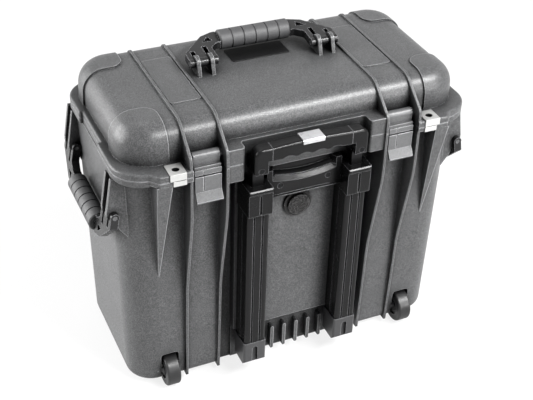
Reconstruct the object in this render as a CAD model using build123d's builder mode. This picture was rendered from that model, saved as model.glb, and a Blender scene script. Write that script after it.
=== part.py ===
from build123d import *

import os
from math import cos, radians, sin, tan

# Hard-shell top-loading case: a tub and a lid on two rear hinges, two latches, three
# folding handles, a two-stage trolley handle on the front and two wheels in its lower corners.
# Millimetres. X runs to the right seen from the front, Y to the back, Z up.
# The origin is on the floor, under the middle of the case.

os.makedirs("parts", exist_ok=True)

SIDES = (("left", -1), ("right", 1))

# ---------------------------------------------------------------- driving sizes
# The case body
case_length = 500.0          # over the flanges, left to right
flange_front = -128.5        # front edge of the flange at the corners
flange_back = 127.5
flange_corner = 42.0
ground_gap = 7.0             # floor to the underside of the tub
parting_height = 368.0       # where the lid meets the tub
parting_gap = 0.4
lid_flange_thickness = 9.0
base_flange_thickness = 10.0
dome_height = 47.0           # lid top above the lid flange
wall = 4.5
tub_draft = 1.2              # degrees
dome_draft = 2.0
tub_side_inset = 5.0         # tub top edge inside the flange edge
tub_front_inset = 17.0
tub_back_inset = 7.0
dome_side_inset = 13.0
tub_corner = 38.0
tub_bottom_edge = 12.0
dome_edge = 28.0
dome_corner = 42.0
rim_width = 9.5              # thickened wall at the mouth of tub and lid, left and right
rim_step = 2.0               # the same step at front and back
rim_depth = 12.0
seal_inset = 4.0             # seal line outside the mouth

# Seal between lid and tub
seal_width = 4.4
seal_height = 3.4
seal_groove_depth = 6.2
seal_slack = 0.3             # around the seal and over the tub's ridge
ridge_width = 2.4

# Ribs that flank the latches and run over the lid
latch_x = 136.5              # middle of a latch bay
latch_bay = 44.0             # clear width between two ribs
rib_thickness = 4.0
rib_front = -137.5           # front face of the ribs at the latches
rib_back = 149.0
rib_flare_low_drop = 196.0        # height where the ribs start to flare out
rib_flare_high_drop = 71.0
rib_foot_height = 8.0
rib_foot_proud = 4.0         # how far the ribs stand out of the wall at the foot
rib_waist_proud = 7.5
rib_edge = 1.0               # rounding along a rib's free edges
rib_sweep = 200.0            # radius of the flare's bends
rib_nose_bend = 9.0
rib_slope_bend = 20.0
rib_rear_bend = 15.0
rib_crest = 3.0              # ribs above the lid's top
rib_nose_rise = 23.5
rib_slope_start = -92.0      # where the crest turns down to the latch
rib_slope_back = 100.0
band_front = -54.8           # raised panel between two ribs on the lid
band_back = 64.7
band_rise = 1.2
band_margin = 1.2

# Corner pads of the lid
pad_rise = 2.5
pad_x = 180.0
pad_front = -52.0
pad_back = 62.0
pad_corner = 18.0

# Flange details
flange_edge = 3.0            # rounding of the flange's outer edge
lug_blend = 6.0              # hollow where a lug runs out in the flange
latch_bay_lid_front = -114.0
latch_bay_base_front = -117.0
lug_front = -139.5           # padlock lugs
lug_end = 203.0
lug_slope = 9.0              # how far a lug's end slants along the flange
lug_corner = 4.0
lug_thickness_base = 6.0
handle_notch = 5.0
handle_notch_front = -33.0
handle_notch_back = 46.0
shoulder_front = -134.0      # flange shoulders beside the trolley grip
shoulder_inner = 88.0
brow_front = -117.0          # flange behind the trolley grip
brow_top_rise = 23.0
brow_bottom_drop = 25.0

# Padlock gussets under the lugs
gusset_inner = 185.5
gusset_outer = 206.0
gusset_tip_x = 198.0
gusset_tip_drop = 168.0
padlock_x = 178.5
padlock_y = -129.0
padlock_hole = 10.0           # bore through the steel plates
notch_margin = 0.8           # slot in the moulded lugs, around the bore
notch_inner = 10.5           # the same slot towards the latch
plate_sheet = 1.2
plate_width = 21.4
plate_back = -116.5
plate_base_fold = 5.0

# Front bay that carries the trolley
bay_back = -92.0             # outer face of the bay's back wall
bay_panel_front = -107.0
bay_panel_half = 90.0
bay_panel_bottom = 70.0
bay_ledge = 4.0
skirt_rib_pitch = 19.1
skirt_rib_width = 5.0
skirt_ribs = 6
skirt_rib_bottom = 13.0
skirt_rib_top = 54.0
skirt_back = -96.0

# Wheels
wheel_x = 185.0
wheel_radius = 25.0
wheel_width = 20.0
wheel_y = -101.0
tread_edge = 3.0
hub_dish = 2.0
hub_radius = 16.0
bearing_radius = 7.0
bearing_width = 5.0
axle_radius = 3.0
axle_fit = 0.03              # bearing bore over the axle, radial
seat_fit = 0.02              # fixed pins in their holes, radial
well_side_gap = 3.0
well_top_gap = 5.0
well_back_gap = 4.0
well_wall = 4.0
foot_pad = (60.0, 26.0)
foot_pad_x = 165.0
foot_pad_y = 84.0

# Hinges
hinge_y = 141.0
hinge_ear = 8.0
hinge_barrel = 7.5
hinge_pin_radius = 2.5
pin_run_fit = 0.05
hinge_side_gap = 0.75
hinge_arm_thickness = 7.0

# Latches
latch_width = 35.2
link_pin_y = -119.5
link_pin_rise = 16.0
link_pin_radius = 2.0
link_barrel = 6.5
lever_pin_y = -126.5
lever_pin_drop = 10.5
lever_pin_radius = 1.5
lever_knuckle = 3.1
tongue_knuckle = 2.45
lever_sweep = 7.0            # hollow in the link that the lever's top turns in
lever_crown = 3.2            # lever's outer edge above its pin
lever_crown_inside = 1.2
tongue_step = 2.1            # tongue's upper part stands back from the pin
tongue_half = 9.0
lever_lug_gap = 0.4
lever_lug_width = 6.2
link_back = -118.2
latch_face_top = -125.6
latch_face_band = -129.6
latch_face_mid = -131.5
band_low_rise = 2.0
band_high_rise = 6.0
link_bottom_drop = 6.7
lever_face = -132.3
lever_sheet = 3.0
lever_flare_drop = 30.0
link_boss_radius = 5.0
latch_side_gap = 0.5
lever_lip_y = -139.6
lever_bottom_drop = 43.4
claw_tip = -117.5
claw_low_drop = 25.0
claw_high_drop = 19.0
claw_half = 11.0
latch_groove_x = -6.0
latch_groove = 1.1

# Folding handles (top and sides share one design)
handle_reach = 42.5          # pivot to the middle of the grip
grip_radius = 13.5
grip_length = 102.0
grip_core = 8.0
grip_band_pitch = 17.0
grip_band_groove = 0.9
arm_outer = 107.0
arm_inner = 68.0
arm_thickness = 11.0
knuckle_radius = 6.0
handle_pin_radius = 2.5
ear_inner_x = 77.8
ear_outer_x = 97.1
ear_thickness = 5.0
ear_side_gap = 0.4
ear_radius = 10.0
ear_foot = 15.0
ear_slot_deep = 26.0
ear_slot_short = 18.0
arm_shoulder = 17.0
arm_bend_x = 74.0
arm_end_half = 12.5
arm_pocket = 3.0
top_pivot_y = 12.0
top_pivot_rise = 14.0        # pin above the lid's top
top_rest_angle = 6.8
side_pivot_x = 250.5
side_pivot_y = 4.0
side_pivot_drop = 63.0
side_rest_angle = 10.0
side_ear_radius = 9.0

# Trolley
rail_inner_x = 55.0
rail_outer_x = 86.0
rail_front = -140.5
rail_bottom = 67.0
rail_wall = 2.5
rail_groove_width = 2.2
rail_groove_depth = 1.3
collar_top_drop = 36.5
collar_height = 41.5
collar_front = -147.0
collar_side = 1.2            # collar stands out of the rail on each side
collar_lip = 5.5
collar_gap = 0.35
collar_slot = 3.0
guide_gap = 0.5
foot_bottom = 28.0
foot_front = -141.0
foot_slot_width = 8.0
foot_slot_top = 59.0
foot_slot_depth = 4.0
tube_y = -127.5
mid_tube_width = 19.4
mid_tube_depth = 20.0
inner_tube_width = 15.4
inner_tube_depth = 16.0
tube_wall = 1.6
tube_run_gap = 0.4           # between the stages, each side
mid_tube_bottom = 72.0
inner_tube_bottom = 82.0
tube_stroke = 210.0
plate_front = -126.0
plate_bottom_drop = 68.5
plate_top_drop = 26.0
plate_lip = 2.6
plate_scoop_depth = 12.0
plate_scoop_lip = 5.0        # height of the slanting lip under the scoop
plate_scoop_lip_depth = 4.5
plate_scoop_end_drop = 42.3
plate_scoop_sag = 6.0
plate_screw_x = 34.5
plate_screw_drop = 51.9
screw_head = 3.6
screw_shank = 1.8
screw_recess = 2.0
screw_length = 12.0

# Trolley grip
bar_front = -146.5
bar_back = -127.0
bar_bottom_rise = 3.5
bar_top_rise = 22.0
bar_crown = 2.0
bar_end_x = 56.0
bar_edge = 4.0
finger_radius = 16.0
finger_depth = 2.6
finger_pitch = 22.0
leg_inner_x = 61.2
leg_outer_x = 79.8
leg_bottom_drop = 14.0
leg_back = -118.6
leg_socket_top_rise = 2.0
corner_bend = 11.0
leg_screw_drop = 9.0
button_half = 15.0
button_rise = 1.2
button_stroke = 3.0
button_gap = 0.4
button_sheet = 2.6           # thickness of the button's top
button_lip = 6.2             # lip over the bar's front
button_lip_sheet = 1.2
button_lip_gap = 0.3
release_bar = 4.0
release_bar_rise = 15.5
release_bar_gap = 0.8
release_y = -131.0
stem_half = 8.0
release_rod_bottom = 92.0
spring_width = 6.0
spring_sheet = 0.6
spring_depth = 3.4
spring_floor_rise = 5.5

# Pressure valve
valve_drop = 98.5
valve_flange_radius = 20.5
valve_flange = 2.4
valve_cap_radius = 15.2
valve_cap = 3.6
valve_barrel_radius = 9.0
valve_nut_radius = 15.0
valve_nut = 5.0
valve_seal = 1.4
valve_vents = 6

# Name plate, left blank
badge_half = 41.8
badge_front = 20.7
badge_back = 56.0
badge_thickness = 1.0

# Foam lining
foam_clearance = 1.0
lid_foam_thickness = 22.0
base_foam_thickness = 12.0

# ---------------------------------------------------------------- derived places
# heights, all measured from the parting line
rib_flare_low = parting_height - rib_flare_low_drop
rib_flare_high = parting_height - rib_flare_high_drop
rib_nose_height = parting_height + rib_nose_rise
brow_top = parting_height + brow_top_rise
brow_bottom = parting_height - brow_bottom_drop
gusset_tip_height = parting_height - gusset_tip_drop
link_pin_z = parting_height + link_pin_rise
lever_pin_z = parting_height - lever_pin_drop
band_low = parting_height + band_low_rise
band_high = parting_height + band_high_rise
link_bottom = parting_height - link_bottom_drop
lever_flare_height = parting_height - lever_flare_drop
lever_bottom = parting_height - lever_bottom_drop
claw_low = parting_height - claw_low_drop
claw_high = parting_height - claw_high_drop
side_pivot_z = parting_height - side_pivot_drop
collar_top = parting_height - collar_top_drop
rail_top = collar_top - collar_height
plate_bottom = parting_height - plate_bottom_drop
plate_top = parting_height - plate_top_drop
plate_scoop_end = parting_height - plate_scoop_end_drop
plate_screw_z = parting_height - plate_screw_drop
bar_bottom = parting_height + bar_bottom_rise
bar_top = parting_height + bar_top_rise
leg_bottom = parting_height - leg_bottom_drop
leg_socket_top = parting_height + leg_socket_top_rise
leg_screw_z = parting_height - leg_screw_drop
release_bar_z = parting_height + release_bar_rise
spring_floor = parting_height + spring_floor_rise
valve_z = parting_height - valve_drop

half_length = case_length / 2
flange_mid_y = (flange_front + flange_back) / 2
flange_depth = flange_back - flange_front
lid_bottom = parting_height + parting_gap / 2
base_top = parting_height - parting_gap / 2
lid_flange_top = parting_height + lid_flange_thickness
base_flange_bottom = parting_height - base_flange_thickness
lid_top = lid_flange_top + dome_height
top_pivot_z = lid_top + top_pivot_rise

tub_half = half_length - tub_side_inset
tub_front = flange_front + tub_front_inset
tub_back = flange_back - tub_back_inset
tub_height = base_flange_bottom - ground_gap
tub_spread = tub_height * tan(radians(tub_draft))
dome_half = half_length - dome_side_inset
dome_front = tub_front + 2.0
dome_back = tub_back - 0.5

inner_rib_x = latch_x - latch_bay / 2 - rib_thickness
outer_rib_x = latch_x + latch_bay / 2
rib_starts = (inner_rib_x, outer_rib_x)
bay_half = inner_rib_x
tub_mouth_half = tub_half - rim_width
tub_mouth_front = tub_front + wall + rim_step
tub_mouth_back = tub_back - wall - rim_step
seal_half = (tub_mouth_half + tub_half) / 2
seal_front = tub_mouth_front - seal_inset
seal_back = tub_mouth_back + seal_inset
seal_corner = tub_corner - seal_inset
groove_width = seal_width + 2 * seal_slack
ridge_height = seal_groove_depth - seal_height + parting_gap - seal_slack

well_half = wheel_width / 2 + well_side_gap
well_top = 2 * wheel_radius + well_top_gap
well_back = wheel_y + wheel_radius + well_back_gap
axle_half = well_half + well_wall
rail_x = (rail_inner_x + rail_outer_x) / 2
collar_inner_x = rail_inner_x - collar_side
collar_outer_x = rail_outer_x + collar_side
leg_x = rail_x
button_top = bar_top + bar_crown + button_rise
lug_base_bottom = base_top - lug_thickness_base


bore_overrun = 1.4           # cutters reach this far past the faces they open
beyond = case_length         # a length that clears the whole case, for large cutters


def save(piece, node):
    """Label one finished sub-part and write its STEP file."""
    piece.label = node
    export_step(piece, f"parts/{node}.step")


def drafted_box(half_x, front, back, bottom, height, corner, draft, low_edge=0.0, high_edge=0.0):
    """Rounded box that widens upwards (positive draft) or narrows (negative)."""
    with BuildPart(mode=Mode.PRIVATE) as box:
        with BuildSketch(Plane.XY.offset(bottom)):
            with Locations((0, (front + back) / 2)):
                RectangleRounded(2 * half_x, back - front, corner)
        extrude(amount=height, taper=-draft)
        if low_edge:
            fillet(box.faces().sort_by(Axis.Z)[0].edges(), low_edge)
        if high_edge:
            fillet(box.faces().sort_by(Axis.Z)[-1].edges(), high_edge)
    return box.part


def side_profile(points, start, thickness):
    """Plate with its outline in the YZ plane, from x = start to start + thickness."""
    with BuildPart(mode=Mode.PRIVATE) as plate:
        with BuildSketch(Plane.YZ.offset(start)):
            Polygon(*points, align=None)
        extrude(amount=thickness)
    return plate.part


def cross_cylinder(y, z, radius, start, length):
    """Round bar along X from x = start."""
    with BuildPart(mode=Mode.PRIVATE) as bar:
        with BuildSketch(Plane.YZ.offset(start)):
            with Locations((y, z)):
                Circle(radius)
        extrude(amount=length)
    return bar.part


def block(low, high):
    """Plain box between two corners."""
    with BuildPart(mode=Mode.PRIVATE) as box:
        with Locations([tuple((a + b) / 2 for a, b in zip(low, high))]):
            Box(*(b - a for a, b in zip(low, high)))
    return box.part


def mirrored_span(side, near, far):
    """Left-to-right interval of a span given for the right-hand side."""
    return (near, far) if side > 0 else (-far, -near)


def tub_wall_y(height, proud=0.0):
    """Outer face of the tub's front wall at a height."""
    return tub_front + (base_flange_bottom - height) * tan(radians(tub_draft)) - proud


def tub_back_y(height, proud=0.0):
    """Outer face of the tub's back wall at a height."""
    return tub_back - (base_flange_bottom - height) * tan(radians(tub_draft)) + proud


# ---------------------------------------------------------------- flange outline
def flange_outline(with_lugs):
    """Outline of the flange: handle notches at its ends and, where asked, the padlock lugs."""
    with BuildSketch(mode=Mode.PRIVATE) as outline:
        with Locations((0, flange_mid_y)):
            RectangleRounded(case_length, flange_depth, flange_corner)
        for _, side in SIDES:
            notch_mid = (handle_notch_front + handle_notch_back) / 2
            notch_length = handle_notch_back - handle_notch_front
            with Locations((side * half_length, notch_mid)):
                Rectangle(2 * handle_notch, notch_length, mode=Mode.SUBTRACT)
        bends = outline.vertices().filter_by(
            lambda v: abs(abs(v.X) - half_length) < 0.01 and handle_notch_front - 1 < v.Y < handle_notch_back + 1
        )
        fillet(bends, 3.0)
        if with_lugs:
            for _, side in SIDES:
                Polygon(
                    (side * outer_rib_x, tub_front),
                    (side * outer_rib_x, lug_front),
                    (side * lug_end, lug_front),
                    (side * (lug_end + 1.5 * lug_slope), 1.5 * flange_front - 0.5 * lug_front),
                    (side * (lug_end + 1.5 * lug_slope), tub_front),
                    align=None,
                )
    return outline.sketch


def flange_plate(bay_front, bottom, top, lug_bottom, soft_side):
    """Flange as a full plate with lugs and latch bays; the rim of one side is rounded."""
    with BuildPart(mode=Mode.PRIVATE) as plate:
        with BuildSketch(Plane.XY.offset(lug_bottom)):
            add(flange_outline(True))
        extrude(amount=top - lug_bottom)
        for foot, reach, radius in ((0, lug_front, lug_corner), (lug_slope, flange_front, lug_blend)):
            corners = plate.edges().filter_by(Axis.Z).filter_by(
                lambda edge: abs(abs(edge.center().X) - lug_end - foot) < 1.5 and abs(edge.center().Y - reach) < 1.5
            )
            fillet(corners, radius)
        if lug_bottom > bottom:
            with BuildSketch(Plane.XY.offset(bottom)):
                add(flange_outline(False))
            extrude(amount=lug_bottom - bottom)
        with BuildSketch(Plane.XY.offset(bottom)):
            for _, side in SIDES:
                with Locations((side * latch_x, bay_front - 40)):
                    Rectangle(latch_bay, 80)
            with Locations((0, brow_front - 40)):
                Rectangle(2 * bay_half, 80)
        extrude(amount=top - bottom, mode=Mode.SUBTRACT)
        rim = plate.faces().filter_by(Axis.Z).filter_by(
            lambda face: abs(face.center().Z - soft_side) < 0.01
        ).edges().filter_by(
            lambda edge: edge.center().Y > 0 or abs(edge.center().X) > outer_rib_x + 0.5
        )
        fillet(rim, flange_edge)
    return plate.part


def brow(bottom, top):
    """Deeper flange between the two inner ribs, set back behind the trolley grip."""
    deep = tub_mouth_front + 1
    with BuildPart(mode=Mode.PRIVATE) as block_part:
        with BuildSketch(Plane.XY.offset(bottom)) as outline:
            with Locations((0, (brow_front + deep) / 2)):
                Rectangle(2 * bay_half, deep - brow_front)
            for _, side in SIDES:
                with Locations((side * (shoulder_inner + bay_half) / 2, (shoulder_front + deep) / 2)):
                    Rectangle(bay_half - shoulder_inner, deep - shoulder_front)
            bends = outline.vertices().filter_by(
                lambda v: abs(abs(v.X) - shoulder_inner) < 0.01 and v.Y < brow_front + 1
            )
            fillet(bends, 4.0)
        extrude(amount=top - bottom)
    return block_part.part


lid_flange = flange_plate(latch_bay_lid_front, lid_bottom, lid_flange_top, lid_bottom, lid_flange_top)
base_flange = flange_plate(latch_bay_base_front, base_flange_bottom, base_top, lug_base_bottom, base_flange_bottom)
lid_brow = brow(lid_bottom, brow_top)
base_brow = brow(brow_bottom, base_top)


# ---------------------------------------------------------------- ribs
def rib_plate(points, bends, start, is_free):
    """Rib with its outline in the YZ plane, some corners bent to a radius, its free edges rounded."""
    with BuildPart(mode=Mode.PRIVATE) as plate:
        with BuildSketch(Plane.YZ.offset(start)) as outline:
            Polygon(*points, align=None)
            for index, radius in bends:
                y, z = points[index]
                fillet(outline.vertices().sort_by_distance((y, z, 0))[0], radius)
        extrude(amount=rib_thickness)
        free = plate.edges().filter_by(
            lambda edge: abs(edge.center().X - start - rib_thickness / 2) > rib_thickness / 2 - 0.01
            and is_free(edge.center())
        )
        fillet(free, rib_edge)
    return plate.part


def base_rib_front(start):
    """Front rib: a low fin at the foot that flares out to the latch."""
    deep = bay_back + wall
    points = (
        (deep, rib_foot_height),
        (tub_wall_y(rib_foot_height, rib_foot_proud), rib_foot_height),
        (tub_wall_y(rib_flare_low, rib_waist_proud), rib_flare_low),
        (rib_front, rib_flare_high),
        (rib_front, base_top),
        (deep, base_top),
    )
    middle = (deep + tub_wall_y(rib_foot_height, rib_foot_proud)) / 2
    return rib_plate(points, ((2, rib_sweep), (3, rib_sweep)), start, lambda spot: spot.Y < middle - 1)


def base_rib_back(start):
    """Rear rib with the hinge ear on its top."""
    deep = tub_back - wall - rim_width
    points = (
        (deep, rib_foot_height + 6),
        (tub_back_y(rib_foot_height + 6, rib_foot_proud), rib_foot_height + 6),
        (tub_back_y(rib_flare_low, rib_waist_proud), rib_flare_low),
        (rib_back - 3, rib_flare_high),
        (rib_back, parting_height),
        (hinge_y - hinge_ear, parting_height),
        (flange_back, base_top),
        (deep, base_top),
    )
    return rib_plate(
        points, ((2, rib_sweep), (3, rib_sweep / 2)), start,
        lambda spot: spot.Y > tub_back and spot.Z < parting_height - 1,
    )


def lid_rib(start):
    """Rib that runs over the lid from the latch to the back."""
    crest = lid_top + rib_crest
    points = (
        (rib_front, lid_bottom),
        (rib_front + 1, rib_nose_height),
        (rib_slope_start, crest),
        (rib_slope_back, crest),
        (flange_back - 1, lid_flange_top + dome_height / 2),
        (flange_back, lid_bottom),
    )
    bends = ((1, rib_nose_bend), (2, rib_slope_bend), (3, rib_rear_bend), (4, rib_rear_bend))
    return rib_plate(points, bends, start, lambda spot: spot.Z > lid_bottom + 1)


# ---------------------------------------------------------------- tub
tub_outer = drafted_box(
    tub_half - tub_spread,
    tub_front + tub_spread,
    tub_back - tub_spread,
    ground_gap,
    tub_height,
    tub_corner,
    tub_draft,
    low_edge=tub_bottom_edge,
)

tub_cavity_full = drafted_box(
    tub_half - tub_spread - wall,
    tub_front + tub_spread + wall,
    tub_back - tub_spread - wall,
    ground_gap + wall,
    tub_height - wall,
    tub_corner - wall,
    tub_draft,
    low_edge=tub_bottom_edge - wall,
)
with BuildPart() as tub_cavity:
    add(tub_cavity_full)
    # the front bay pushes the wall inwards, except behind its panel
    add(block((-bay_half - wall, -beyond, 0), (bay_half + wall, bay_back + wall, brow_bottom - bay_ledge)),
        mode=Mode.SUBTRACT)
    # housings around the two wheel wells
    for _, side in SIDES:
        low, high = mirrored_span(side, wheel_x - axle_half, wheel_x + axle_half)
        add(block((low, -beyond, 0), (high, well_back + well_wall, well_top + well_wall)),
            mode=Mode.SUBTRACT)
    # the rim at the mouth is thicker than the wall
    add(block((-beyond, -beyond, parting_height - rim_depth), (beyond, beyond, parting_height + beyond)),
        mode=Mode.SUBTRACT)
    panel_half = bay_panel_half - wall
    add(block((-panel_half, bay_panel_front + wall, bay_panel_bottom + wall),
              (panel_half, bay_back + wall + 1, brow_bottom - bay_ledge)))

tub_mouth = drafted_box(
    tub_mouth_half,
    tub_mouth_front,
    tub_mouth_back,
    parting_height - rim_depth - 1,
    rim_depth + 10,
    tub_corner - rim_width,
    0,
)


def seal_ring(width, bottom, height):
    """Rounded ring that follows the flange, as used for ridge, groove and seal."""
    with BuildPart(mode=Mode.PRIVATE) as ring:
        with BuildSketch(Plane.XY.offset(bottom)):
            with Locations((0, (seal_front + seal_back) / 2)):
                RectangleRounded(
                    2 * seal_half + width, seal_back - seal_front + width, seal_corner + width / 2
                )
                RectangleRounded(
                    2 * seal_half - width,
                    seal_back - seal_front - width,
                    seal_corner - width / 2,
                    mode=Mode.SUBTRACT,
                )
        extrude(amount=height)
    return ring.part


def padlock_gusset(side):
    """Wedge that carries the padlock lug and runs out in the wall below."""
    with BuildPart(mode=Mode.PRIVATE) as wedge:
        with BuildSketch(Plane.XZ.offset(-(tub_front + wall))):
            Polygon(
                (side * gusset_inner, lug_base_bottom),
                (side * gusset_outer, lug_base_bottom),
                (side * (gusset_tip_x + 1), gusset_tip_height),
                (side * (gusset_tip_x - 1), gusset_tip_height),
                align=None,
            )
        extrude(amount=tub_front + wall - lug_front)
        slope = side_profile(
            (
                (tub_front + wall + 1, gusset_tip_height - 1),
                (tub_wall_y(gusset_tip_height), gusset_tip_height - 1),
                (lug_front, lug_base_bottom + 1),
                (tub_front + wall + 1, lug_base_bottom + 1),
            ),
            min(side * gusset_inner, side * gusset_outer) - 1,
            gusset_outer - gusset_inner + 2,
        )
        add(slope, mode=Mode.INTERSECT)
    return wedge.part


def padlock_notch(side, bottom, top):
    """Slot in a lug, open to the front under its steel plate, that the shackle passes through."""
    reach = padlock_hole / 2 + notch_margin
    low, high = mirrored_span(side, padlock_x - notch_inner, padlock_x + reach)
    return block((low, lug_front - 1, bottom), (high, padlock_y + reach, top))


def side_ear(side, offset):
    """Ear for a side handle: a plate on the tub's end wall, bored for the pin."""
    wall_x = tub_half - tub_corner / 3
    with BuildPart(mode=Mode.PRIVATE) as ear:
        with BuildSketch(Plane.XZ.offset(-(side_pivot_y + offset + ear_thickness / 2))):
            Polygon(
                (side * wall_x, base_flange_bottom + 1),
                (side * (side_pivot_x + 1), base_flange_bottom + 1),
                (side * (side_pivot_x + side_ear_radius), side_pivot_z + 4),
                (side * (side_pivot_x - 2), side_pivot_z - side_ear_radius - 1),
                (side * (tub_half - 1), side_pivot_z - 24),
                (side * wall_x, side_pivot_z - 40),
                align=None,
            )
            with Locations((side * side_pivot_x, side_pivot_z)):
                Circle(side_ear_radius)
                Circle(handle_pin_radius + seat_fit, mode=Mode.SUBTRACT)
        extrude(amount=ear_thickness)
    return ear.part


with BuildPart() as base_shell:
    add(tub_outer)
    for _, side in SIDES:
        # wheel wells, open to the front and below, with the axle holes
        with BuildSketch(Plane.XZ.offset(-well_back)):
            with Locations((side * wheel_x, (well_top - 40) / 2)):
                RectangleRounded(2 * well_half, well_top + 40, 5)
        extrude(amount=100, mode=Mode.SUBTRACT)
        low, high = mirrored_span(side, wheel_x - axle_half - bore_overrun, wheel_x + axle_half + bore_overrun)
        add(cross_cylinder(wheel_y, wheel_radius, axle_radius + seat_fit, low, high - low), mode=Mode.SUBTRACT)
    # front bay with its panel
    add(block((-bay_half, -beyond, -1), (bay_half, bay_back, brow_bottom)), mode=Mode.SUBTRACT)
    add(block((-bay_panel_half, bay_panel_front, bay_panel_bottom), (bay_panel_half, bay_back + 1, brow_bottom)))
    add(block((-bay_panel_half, skirt_back, ground_gap + 2), (bay_panel_half, bay_back + 1, bay_panel_bottom)))
    with BuildSketch(Plane.XZ.offset(-skirt_back)):
        with Locations((0, (skirt_rib_bottom + skirt_rib_top) / 2)):
            with GridLocations(skirt_rib_pitch, 1, skirt_ribs, 1):
                RectangleRounded(skirt_rib_width, skirt_rib_top - skirt_rib_bottom, skirt_rib_width / 2 - 0.1)
    extrude(amount=skirt_back - bay_panel_front)
    add(base_flange)
    add(base_brow)
    for _, side in SIDES:
        for start in rib_starts:
            low, high = mirrored_span(side, start, start + rib_thickness)
            add(base_rib_front(low))
            add(base_rib_back(low))
        add(padlock_gusset(side))
        for offset in (-ear_outer_x, -ear_inner_x, ear_inner_x, ear_outer_x):
            add(side_ear(side, offset))
        # rear stand-off pads, level with the wheels
        with BuildSketch(Plane.XY):
            with Locations((side * foot_pad_x, foot_pad_y)):
                RectangleRounded(*foot_pad, 10)
        extrude(amount=ground_gap + 3)
        # hinge ears
        for start in rib_starts:
            low, high = mirrored_span(side, start, start + rib_thickness)
            add(cross_cylinder(hinge_y, parting_height, hinge_ear, low, rib_thickness))
        # the flange is thinner under the padlock lug
        low, high = mirrored_span(side, outer_rib_x + rib_thickness, gusset_inner)
        add(block((low, lug_front - 1, base_flange_bottom - 1), (high, plate_back + 0.4, lug_base_bottom)),
            mode=Mode.SUBTRACT)
    add(tub_cavity.part, mode=Mode.SUBTRACT)
    add(tub_mouth, mode=Mode.SUBTRACT)
    add(seal_ring(ridge_width, base_top - 1, ridge_height + 1))
    for _, side in SIDES:
        # hinge pin holes and the slots behind the padlock plates
        low, high = mirrored_span(side, inner_rib_x - bore_overrun, outer_rib_x + rib_thickness + bore_overrun)
        add(cross_cylinder(hinge_y, parting_height, hinge_pin_radius + seat_fit, low, high - low),
            mode=Mode.SUBTRACT)
        add(padlock_notch(side, lug_base_bottom - 1, base_top + 1), mode=Mode.SUBTRACT)
    # valve seat
    with BuildSketch(Plane.XZ.offset(-bay_back)):
        with Locations((0, valve_z)):
            Circle(valve_barrel_radius + seat_fit)
    extrude(amount=bay_back - bay_panel_front + 1, mode=Mode.SUBTRACT)
save(base_shell.part, "base_shell")

# ---------------------------------------------------------------- lid
def dome(inset, bottom, top, edge):
    """The lid's domed box, moved in by an inset."""
    return drafted_box(
        dome_half - inset,
        dome_front + inset,
        dome_back - inset,
        bottom,
        top - bottom,
        dome_corner - inset,
        -dome_draft,
        high_edge=edge,
    )


dome_outer = dome(0, lid_flange_top - 1, lid_top, dome_edge)
dome_pads = dome(-pad_rise, lid_flange_top - 1, lid_top + pad_rise, dome_edge + pad_rise)
lid_cavity = dome(wall, lid_flange_top + 2, lid_top - wall, dome_edge - wall)
lid_mouth = drafted_box(
    tub_mouth_half,
    tub_mouth_front,
    tub_mouth_back,
    lid_bottom - 1,
    lid_flange_thickness + 4,
    tub_corner - rim_width,
    0,
)

with BuildPart() as corner_pads:
    add(dome_pads)
    with BuildPart(mode=Mode.PRIVATE) as corners:
        with BuildSketch(Plane.XY.offset(lid_flange_top - 2)):
            for _, side in SIDES:
                for near, far in ((pad_front, flange_front - 20), (pad_back, flange_back + 20)):
                    with Locations((side * (pad_x + half_length + 20) / 2, (near + far) / 2)):
                        RectangleRounded(half_length + 20 - pad_x, abs(far - near), pad_corner)
        extrude(amount=dome_height + 20)
    add(corners.part, mode=Mode.INTERSECT)


def top_ear(offset):
    """Ear for the top handle, bored for the pin."""
    return side_profile(
        (
            (top_pivot_y - ear_foot, lid_top - 1),
            (top_pivot_y + ear_foot, lid_top - 1),
            (top_pivot_y + ear_radius, top_pivot_z),
            (top_pivot_y - ear_radius, top_pivot_z),
        ),
        offset - ear_thickness / 2,
        ear_thickness,
    )


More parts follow.
